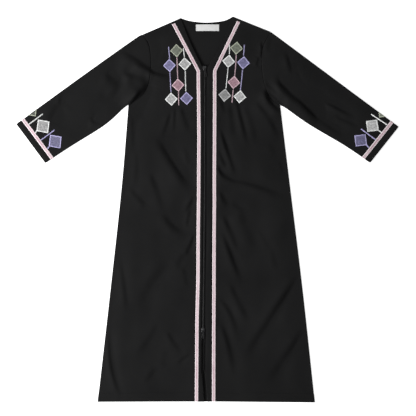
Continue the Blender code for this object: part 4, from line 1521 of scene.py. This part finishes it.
def stitched(name, lines, finish, slot, width=0.4, height=0.26):
    """Rows of stitches along lines of points on the cloth. Each line comes with its way up off the cloth, and
    each stitch is five rings round the line, whose size and dip follow the stitch's place along it."""
    angle = 2 * np.pi * np.arange(STITCH_SIDES) / STITCH_SIDES
    blocks = []
    for line, up in lines:
        lengths = lengths_along(line)
        middles = STITCH * (np.arange(int(lengths[-1] / STITCH)) + 0.5)
        at = middles[:, None] + STITCH * STITCH_AT
        both = np.concatenate([line, np.broadcast_to(up, line.shape)], axis=1)
        spots = np.stack([np.interp(at, lengths, both[:, k]) for k in range(6)], axis=-1)
        places, rise = spots[..., :3], unit(spots[..., 3:])
        along = unit(places[:, -1:] - places[:, :1]) + 0 * places
        across = unit(np.cross(along, rise))
        size = STITCH_SIZE[None, :, None, None]
        ring = across[:, :, None] * (0.5 * width * np.cos(angle))[None, None, :, None]
        ring = ring + rise[:, :, None] * (0.5 * height * np.sin(angle))[None, None, :, None]
        sunk = places + rise * STITCH_DIP[None, :, None]
        blocks.append((sunk[:, :, None] + ring * size).reshape(len(at), -1, 3))
    points = np.concatenate(blocks)
    start = (np.arange(len(points)) * points.shape[1])[:, None, None]
    walls = quads(len(STITCH_AT), STITCH_SIDES, around=True) + start
    ends = np.arange(STITCH_SIDES) + [[0], [points.shape[1] - STITCH_SIDES]] + start
    faces = walls.reshape(-1, 4).tolist() + ends.reshape(-1, STITCH_SIDES).tolist()
    return piece(name, points, faces, finish, slot)


UP = np.array([0.0, 0.0, 1.0])


def front_stitching(side):
    """Along the turned hem, and along the band's folded edge."""
    seam, edge = band_seam(side, FINE), band_edge(side, FINE)
    short = np.array([HEM_STITCH_SHORT * OUTWARD[side], 0.0])
    hem = np.linspace(seam[0] + short, place("hem corner", side) - short, 80)
    hem[:, 1] += HEM_TURN
    band_line = beside(edge[2:-3], -OUTWARD[side] * EDGE_STITCH)
    above = BAND_RISE - BAND_STITCH_SUNK
    rows = [(raised(hem, face(hem) - HEM_STITCH_SUNK), UP), (raised(band_line, face(band_line) + above), UP)]
    return stitched(f"front_stitching_{SIDES[side]}", rows, BLACK_THREAD, "crepe")


def braid_stitching(side):
    """A row of pink stitches just inside each edge of the braid."""
    seam = band_seam(side, FINE)[:-3]
    rows = []
    for away in (BRAID_STITCH_IN, BRAID_WIDTH - BRAID_STITCH_IN):
        line = beside(seam, -OUTWARD[side] * (BRAID_START + away))
        line = line[line[:, 1] > BRAID_STITCH_FOOT]
        rows.append((raised(line, face(line) + BRAID_RISE + BRAID_STITCH_LEVEL * BRAID_WALL), UP))
    return stitched(f"braid_stitching_{SIDES[side]}", rows, PINK_THREAD, "braid", 0.34, 0.2)


front_rows = [front_stitching(side) for side in (LEFT, RIGHT)]
braid_rows = [braid_stitching(side) for side in (LEFT, RIGHT)]


def neck_stitching():
    """Along the back's narrow neck hem."""
    neck = smooth_line([place("neck", LEFT), *BACK_NECK, place("neck", RIGHT)], 60)
    line = beside(neck, -NECK_STITCH_IN)[6:-6]
    rows = [(raised(line, BACK_LOW + BACK_WALL + STITCH_CLEAR), UP)]
    return stitched("neck_stitching", rows, BLACK_THREAD, "crepe")


def label_stitching():
    """Two short rows across the label's ends."""
    half_apart, half_long = LABEL_STITCHES
    y = LABEL_PLACE[1] + np.linspace(-half_long, half_long, 12)
    rows = []
    for x in (-half_apart, half_apart):
        line = np.stack([np.full(12, x), y], axis=1)
        rows.append((raised(line, LABEL_LEVEL + 0.5 * LABEL_WALL + STITCH_CLEAR), UP))
    return stitched("label_stitching", rows, WHITE_THREAD, "label")


neck_row = neck_stitching()
label_rows = label_stitching()


# The sleeves' skin
# What is sewn to a cuff goes round its fold, so it is placed by how far it is from the cuff's end and how far
# round from the fold on top, over the upper layer where that is positive.

SKIN_STEPS = (2.0, 0.5)
SKIN_ROWS = np.arange(2.0, 82.0, SKIN_STEPS[0])
SKIN_ROUND = np.arange(-118.0, 118.5, SKIN_STEPS[1])
CUFF_STITCH = 6.5


def sleeve_skin(side):
    """Tables of places on the sleeve and of the way out from them, row by row along SKIN_ROWS, evened out
    along SKIN_ROUND by how long the way round is."""
    base, over = sleeve_ring(side, SKIN_ROWS, columns=CUFF_COLUMNS)
    proud, _ = sleeve_ring(side, SKIN_ROWS, proud=1.0, columns=CUFF_COLUMNS)
    unrolled = [np.concatenate([ring[:, over:], ring[:, :over]], axis=1) for ring in (base, proud - base)]
    steps = np.linalg.norm(np.diff(unrolled[0], axis=1), axis=2)
    along = np.concatenate([np.zeros((len(SKIN_ROWS), 1)), np.cumsum(steps, axis=1)], axis=1)
    along -= along[:, base.shape[1] - over, None]
    tables = []
    for table in unrolled:
        rows = [[np.interp(SKIN_ROUND, way, measure) for measure in row.T] for way, row in zip(along, table)]
        tables.append(np.array(rows))
    return tables


SKINS = [sleeve_skin(side) for side in (LEFT, RIGHT)]


def on_sleeve(side, round_by, from_cuff, height):
    """Places at distances round a sleeve, from its cuff and above it, read off its tables in between rows."""
    row = np.clip((from_cuff - SKIN_ROWS[0]) / SKIN_STEPS[0], 0, len(SKIN_ROWS) - 1.001)
    column = np.clip((round_by - SKIN_ROUND[0]) / SKIN_STEPS[1], 0, len(SKIN_ROUND) - 1.001)
    i, j = row.astype(int), column.astype(int)
    p, q = (row - i)[..., None], (column - j)[..., None]

    def read(table):
        """What the table says at those places, between its four nearest ones."""
        table = table.transpose(0, 2, 1)
        first = table[i, j] * (1 - q) + table[i, j + 1] * q
        return first * (1 - p) + (table[i + 1, j] * (1 - q) + table[i + 1, j + 1] * q) * p

    places, out = (read(table) for table in SKINS[side])
    return places + out * np.asarray(height)[..., None]


def cuff_stitching(side):
    """Once round the cuff, through the strip that is turned into it."""
    around = np.arange(-116.0, 116.0, 2.0)
    line, up = (on_sleeve(side, around, CUFF_STITCH + 0 * around, h + 0 * around) for h in (0.03, 1.03))
    return stitched(f"cuff_stitching_{SIDES[side]}", [(line, up - line)], BLACK_THREAD, "crepe")


cuff_rows = [cuff_stitching(side) for side in (LEFT, RIGHT)]


# The embroidery
# Lozenges and the lines that hang between them, machine-sewn in shiny rayon on the chest and the cuffs. A
# lozenge is a sheaf of slanted stitches inside a raised satin border, and a line is a satin bar.

LOZENGE_STEPS = 36
BORDER = 2.5
BORDER_HIGH = 0.75
FILL_HIGH = 0.42
LINE_WIDTH = 2.8
LINE_HIGH = 0.62
LINE_STEP = 0.45
LINE_END = 0.8

# How far apart the ribs of the stitches are, and how high on borders, fills and lines
RIB = 1.6
BORDER_RIB, FILL_RIB, LINE_RIB = 0.05, 0.06, 0.045


def rayon(name, fill, border):
    """Shiny yarn: fine ridges across the strands, uneven in tone from strand to strand. The fill's colour is
    darker than the border's, partly for the black cloth between its stitches and partly as painted shade, and
    the border is paler as a painted highlight where it stands up to the light. Each piece's colour is also
    scaled by a painted sheen."""
    made, tree, shader = material(
        f"{name} rayon",
        {"Specular IOR Level": 0.5, "Sheen Weight": 0.15, "Sheen Roughness": 0.35},
    )
    strand, rim = kept(tree, "strand"), kept(tree, "rim")
    uneven = noise(tree, node(tree, "CombineXYZ", {"X": strand, "Y": rim}).outputs[0], 1.7)
    patch = spread(tree, noise(tree, own_place(tree), 190.0), (0.78, 1.22), (0.34, 0.66))
    tone_and_painted_sheen = spread(tree, uneven, (0.8, 1.16), (0.3, 0.7))
    # Painted sheen: the yarn's random tone is scaled by each piece's painted sheen value
    tone_and_painted_sheen = math(tree, "MULTIPLY", tone_and_painted_sheen, math(tree, "MULTIPLY", patch, kept(tree, "painted_sheen")))
    colour = mixed(tree, rim, (*fill, 1.0), (*border, 1.0))
    lit = node(tree, "VectorMath", {0: colour, "Scale": tone_and_painted_sheen}, operation="SCALE").outputs["Vector"]
    feed(tree, shader, "Base Color", lit)
    feed(tree, shader, "Roughness", spread(tree, uneven, (0.34, 0.5)))
    put_relief(tree, shader, math(tree, "SINE", math(tree, "MULTIPLY", strand, 14.0)), 0.00006)
    return made


# Each yarn's fill and border colours: the fill darker, partly for the black cloth between its stitches and
# partly as painted shade; the border paler, as a painted highlight
YARNS = {
    "olive": rayon("olive", (0.135, 0.147, 0.116), (0.36, 0.385, 0.3)),
    "violet": rayon("violet", (0.142, 0.133, 0.25), (0.4, 0.37, 0.62)),
    "white": rayon("white", (0.37, 0.37, 0.37), (0.78, 0.79, 0.78)),
    "pink": rayon("pink", (0.3, 0.18, 0.215), (0.6, 0.42, 0.47)),
    "grey": rayon("grey", (0.225, 0.225, 0.225), (0.45, 0.45, 0.45)),
}


def lozenge(middle, half, turn, put, painted_sheen):
    """A relief over a lozenge. Its border is a half-round ridge with ribs square to each edge, and its fill
    is lower, with ribs that run parallel to one pair of edges. put lays points and heights on the cloth."""
    side = np.hypot(*half)
    rim = BORDER / side * 2
    share = np.array([0.0, 0.02, 0.08, 0.2, 0.4, 0.6, 0.8, 1.0]) * rim
    inner = np.linspace(-1 + rim, 1 - rim, LOZENGE_STEPS)[1:-1]
    u = np.concatenate([share - 1, inner, 1 - share[::-1]])
    u, v = np.meshgrid(u, u, indexing="ij")
    far = np.maximum(np.abs(u), np.abs(v))
    deep = (1 - far) * 0.5 * side
    along = np.where(np.abs(u) > np.abs(v), v, u) * 0.5 * side
    fill = u * 0.5 * side
    ridge = BORDER_HIGH * np.sqrt(np.clip(1 - (2 * deep / BORDER - 1) ** 2, 0, 1))
    ridge = ridge + BORDER_RIB * np.cos(2 * np.pi * along / RIB) * (ridge > 0.3)
    flat = FILL_HIGH + FILL_RIB * np.cos(2 * np.pi * fill / RIB)
    on_rim = 1 - ease((deep - BORDER + 0.25) / 0.5)
    height = np.where(deep < 0.5 * BORDER, ridge, np.maximum(ridge, flat)) - 0.12 * (deep < 0.01)
    x, y = half[0] * (u + v) / 2, half[1] * (v - u) / 2
    cos, sin = np.cos(np.radians(turn)), np.sin(np.radians(turn))
    points = put(np.stack([x * cos - y * sin, x * sin + y * cos], axis=-1) + middle, height)
    grid = np.arange(u.size).reshape(u.shape)
    border = np.concatenate([grid[0], grid[1:, -1], grid[-1, -2::-1], grid[-2:0:-1, 0]])
    faces = quads(*u.shape).tolist() + [border[::-1].tolist()]
    strand = np.where(on_rim > 0.5, along, fill)
    # Painted sheen: a fill's colour takes the given painted sheen as a scale, and a border's keeps 1
    light = np.where(on_rim > 0.5, 1.0, painted_sheen)
    return points.reshape(-1, 3), faces, strand.ravel(), on_rim.ravel(), light.ravel()


def satin_line(path, put, painted_sheen):
    """A half-round bar along a path, with ribs across it and rounded ends."""
    path = np.array(path, float)
    whole = lengths_along(path)[-1]
    at = np.linspace(0, whole, int(whole / LINE_STEP))
    middle = at_lengths(path, at)
    along = unit(np.gradient(middle, axis=0))
    across = np.stack([-along[:, 1], along[:, 0]], axis=1)
    taper = np.maximum(rounded(np.minimum(at, whole - at), LINE_END), 0.12**0.5)[:, None]
    share = np.cos(np.linspace(np.pi, 0, 9))
    arch = np.sqrt(1 - share**2)
    height = LINE_HIGH * arch * taper + LINE_RIB * np.cos(2 * np.pi * at / RIB)[:, None] * (arch > 0.3)
    height = np.concatenate([height - 0.1 * (arch < 0.01), np.full((len(at), 2), -0.12)], axis=1)
    share = np.concatenate([share, [0.6, -0.6]])
    plan = middle[:, None] + across[:, None] * (0.5 * LINE_WIDTH * share)[None, :, None] * taper[..., None]
    points, faces = capped(put(plan, height))
    # The last value is the line's painted sheen, a scale on its colour
    return points, faces, np.repeat(at, len(share)), np.ones(len(points)), np.full(len(points), painted_sheen)


def embroidered(name, yarn, parts):
    """One colour's lozenges and lines in one place, as one piece."""
    points, faces = joined([part[:2] for part in parts])
    kinds = enumerate(("strand", "rim", "painted_sheen"), 2)
    values = {kind: np.concatenate([part[k] for part in parts]) for k, kind in kinds}
    return piece(name, points, faces, YARNS[yarn], "braid", values=values)


def on_front(plan, height):
    """Places on a front at heights above its face."""
    return raised(plan, face(plan) + height)


# For each yarn on each side of the chest: its lozenges' middles and its lines
CHEST = {
    "left": {
        "olive": ([(-80.2, 412.9)], []),
        "violet": (
            [(-98.6, 374.4), (-54.1, 288.8)],
            [((-100.9, 423.3), (-98.3, 391.8)), ((-97.5, 357.0), (-94.6, 304.7))],
        ),
        "white": (
            [(-58.8, 378.1), (-93.8, 286.7)],
            [((-62.7, 419.5), (-59.8, 396.8)), ((-57.6, 360.0), (-56.2, 307.0))],
        ),
        "pink": (
            [(-76.2, 323.2)],
            [((-79.3, 395.5), (-77.1, 340.3)), ((-75.1, 306.0), (-74.4, 270.4))],
        ),
    },
    "right": {
        "olive": ([(75.5, 419.3)], []),
        "violet": (
            [(93.6, 381.3)],
            [((96.0, 428.4), (94.0, 399.8)), ((91.3, 363.3), (88.9, 337.7), (85.9, 310.9))],
        ),
        "white": (
            [(55.2, 385.1), (84.3, 293.1)],
            [((57.6, 429.0), (57.2, 403.3)), ((53.6, 367.5), (51.3, 343.7), (48.3, 315.0))],
        ),
        "pink": (
            [(68.8, 330.3)],
            [((74.8, 402.2), (73.9, 379.5), (71.0, 347.9)), ((67.1, 312.0), (63.8, 277.4))],
        ),
        "grey": ([(45.1, 297.1)], []),
    },
}
CHEST_HALF = (16.8, 17.4)
CHEST_TURN = {"left": 3.0, "right": -5.6}

# The same on the cuffs, by distance round from the fold on top and distance from the cuff's end
CUFFS = {
    "left": {
        "olive": ([(-7.4, 52.8)], []),
        "white": ([(46.9, 52.6)], [((20.7, 71.6), (20.7, 25.6)), ((45.7, 34.4), (49.0, 25.4))]),
        "violet": ([(97.3, 54.5)], [((72.4, 71.5), (72.4, 25.8)), ((97.6, 36.8), (100.8, 26.5))]),
        "pink": ([(-59.0, 53.8)], [((-33.0, 71.8), (-33.0, 25.8))]),
        "grey": ([(-103.0, 53.8)], [((-81.0, 71.8), (-81.0, 25.8))]),
    },
    "right": {
        "olive": ([(-8.9, 54.4)], []),
        "white": ([(39.6, 55.4)], [((17.4, 76.4), (14.7, 26.5)), ((39.7, 35.4), (39.7, 25.8))]),
        "violet": ([(87.8, 55.6)], [((63.7, 73.6), (63.7, 26.0)), ((88.4, 37.6), (90.6, 26.0))]),
        "pink": ([(-59.3, 55.4)], [((-33.3, 74.4), (-33.3, 25.8))]),
        "grey": ([(-102.0, 55.4)], [((-81.3, 74.4), (-81.3, 25.8))]),
    },
}
CUFF_HALF = {"left": (22.3, 20.9), "right": (20.6, 20.7)}

# Painted sheen: how much the colour is scaled to stand for the light the slanted stitches send up: fills of
# lozenges on the chest and, by yarn, on each cuff, where a yarn that isn't named has 1; and lines in each
# place
CHEST_PAINTED_SHEEN = 1.04
PAINTED_SHEEN = {
    "left": {"olive": 0.33, "white": 0.78, "violet": 0.78},
    "right": {"olive": 1.75, "white": 1.38, "violet": 0.87},
}
CHEST_LINE_PAINTED_SHEEN = {"violet": 0.7, "white": 0.76, "pink": 0.64}
CUFF_LINE_PAINTED_SHEEN = {"left": 0.84, "right": 1.2}

chest_sewing, cuff_sewing = ([], []), ([], [])
for side in (LEFT, RIGHT):
    where = SIDES[side]
    for yarn, (middles, lines) in CHEST[where].items():
        parts = [lozenge(middle, CHEST_HALF, CHEST_TURN[where], on_front, CHEST_PAINTED_SHEEN) for middle in middles]
        parts += [satin_line(line, on_front, CHEST_LINE_PAINTED_SHEEN[yarn]) for line in lines]
        chest_sewing[side].append(embroidered(f"chest_{yarn}_{where}", yarn, parts))

    def on_cuff(plan, height):
        """Places on this side's sleeve at heights above it."""
        return on_sleeve(side, plan[..., 0], plan[..., 1], height)

    for yarn, (middles, lines) in CUFFS[where].items():
        painted_sheen = PAINTED_SHEEN[where].get(yarn, 1.0)
        parts = [lozenge(middle, CUFF_HALF[where], 0.0, on_cuff, painted_sheen) for middle in middles]
        parts += [satin_line(line, on_cuff, CUFF_LINE_PAINTED_SHEEN[where]) for line in lines]
        cuff_sewing[side].append(embroidered(f"cuff_{yarn}_{where}", yarn, parts))


# Pieces on each side
# For each side, the pieces on its front are gathered in a list, and then the list is made again from those on
# its sleeve.

for side in (LEFT, RIGHT):
    on_it = [front_braids[side], zip_tapes[side], coils[side], front_rows[side], braid_rows[side]]
    on_it += chest_sewing[side]
    on_it = [turnings[side], cuff_braids[side], cuff_rows[side], *cuff_sewing[side]]


# The surface, the light and the camera
# The garment lies on a plain white table. A strong lamp shines low from its left, a weak wide one from above
# its neck, and a pale sky from all round. It is seen from straight above through a long lens.

VIEW_CENTRE = (1.3, 3.9)
VIEW_WIDTH = 1081.6
CAMERA_HEIGHT = 6000.0
TABLE_WIDTH = 6000.0
TABLE_GLOW = 0.7
SKY_STRENGTH = 0.24

# Each lamp's place and width in metres, and its power
LAMPS = {"key lamp": ((-2.35, -0.4, 1.6), 1.15, 118.0), "top lamp": ((0.4, 1.0, 3.4), 2.4, 12.0)}


def table():
    """A matt white plane that glows a little, so that it stays as white as the photo's ground."""
    made, tree, shader = material(
        "white table",
        {
            "Roughness": 0.9,
            "Specular IOR Level": 0.1,
            "Emission Color": (1.0, 1.0, 1.0, 1.0),
            "Emission Strength": TABLE_GLOW,
        },
    )
    cloud = noise(tree, own_place(tree), 3.0)
    colour = ramp(tree, cloud, (0.3, (0.9, 0.9, 0.9, 1.0)), (0.7, (0.92, 0.92, 0.92, 1.0)))
    feed(tree, shader, "Base Color", colour)
    bpy.ops.mesh.primitive_plane_add(size=TABLE_WIDTH * MM, location=(0.0, 0.0, 0.0))
    top = bpy.context.object
    top.name = "table"
    top.data.materials.append(made)


def soft_lamp(name, place_at, width, power):
    """A square lamp that faces the middle of the garment."""
    light = bpy.data.lights.new(name, "AREA")
    light.shape = "SQUARE"
    light.size = width
    light.energy = power
    lamp = bpy.data.objects.new(name, light)
    lamp.location = place_at
    lamp.rotation_euler = (-lamp.location).to_track_quat("-Z", "Y").to_euler()
    bpy.context.scene.collection.objects.link(lamp)


def camera():
    """A long lens straight above the garment."""
    lens = bpy.data.cameras.new("camera")
    lens.sensor_width = 36.0
    lens.lens = lens.sensor_width * CAMERA_HEIGHT / VIEW_WIDTH
    lens.clip_end = 50.0
    made = bpy.data.objects.new("camera", lens)
    made.location = (VIEW_CENTRE[0] * MM, VIEW_CENTRE[1] * MM, CAMERA_HEIGHT * MM)
    bpy.context.scene.collection.objects.link(made)
    bpy.context.scene.camera = made


table()
for name, (place_at, width, power) in LAMPS.items():
    soft_lamp(name, place_at, width, power)
camera()
world = bpy.data.worlds.new("studio")
world.use_nodes = True
sky = world.node_tree.nodes["Background"].inputs
sky["Color"].default_value = (1.0, 1.0, 1.0, 1.0)
sky["Strength"].default_value = SKY_STRENGTH
bpy.context.scene.world = world
bpy.context.scene.view_settings.view_transform = "Standard"
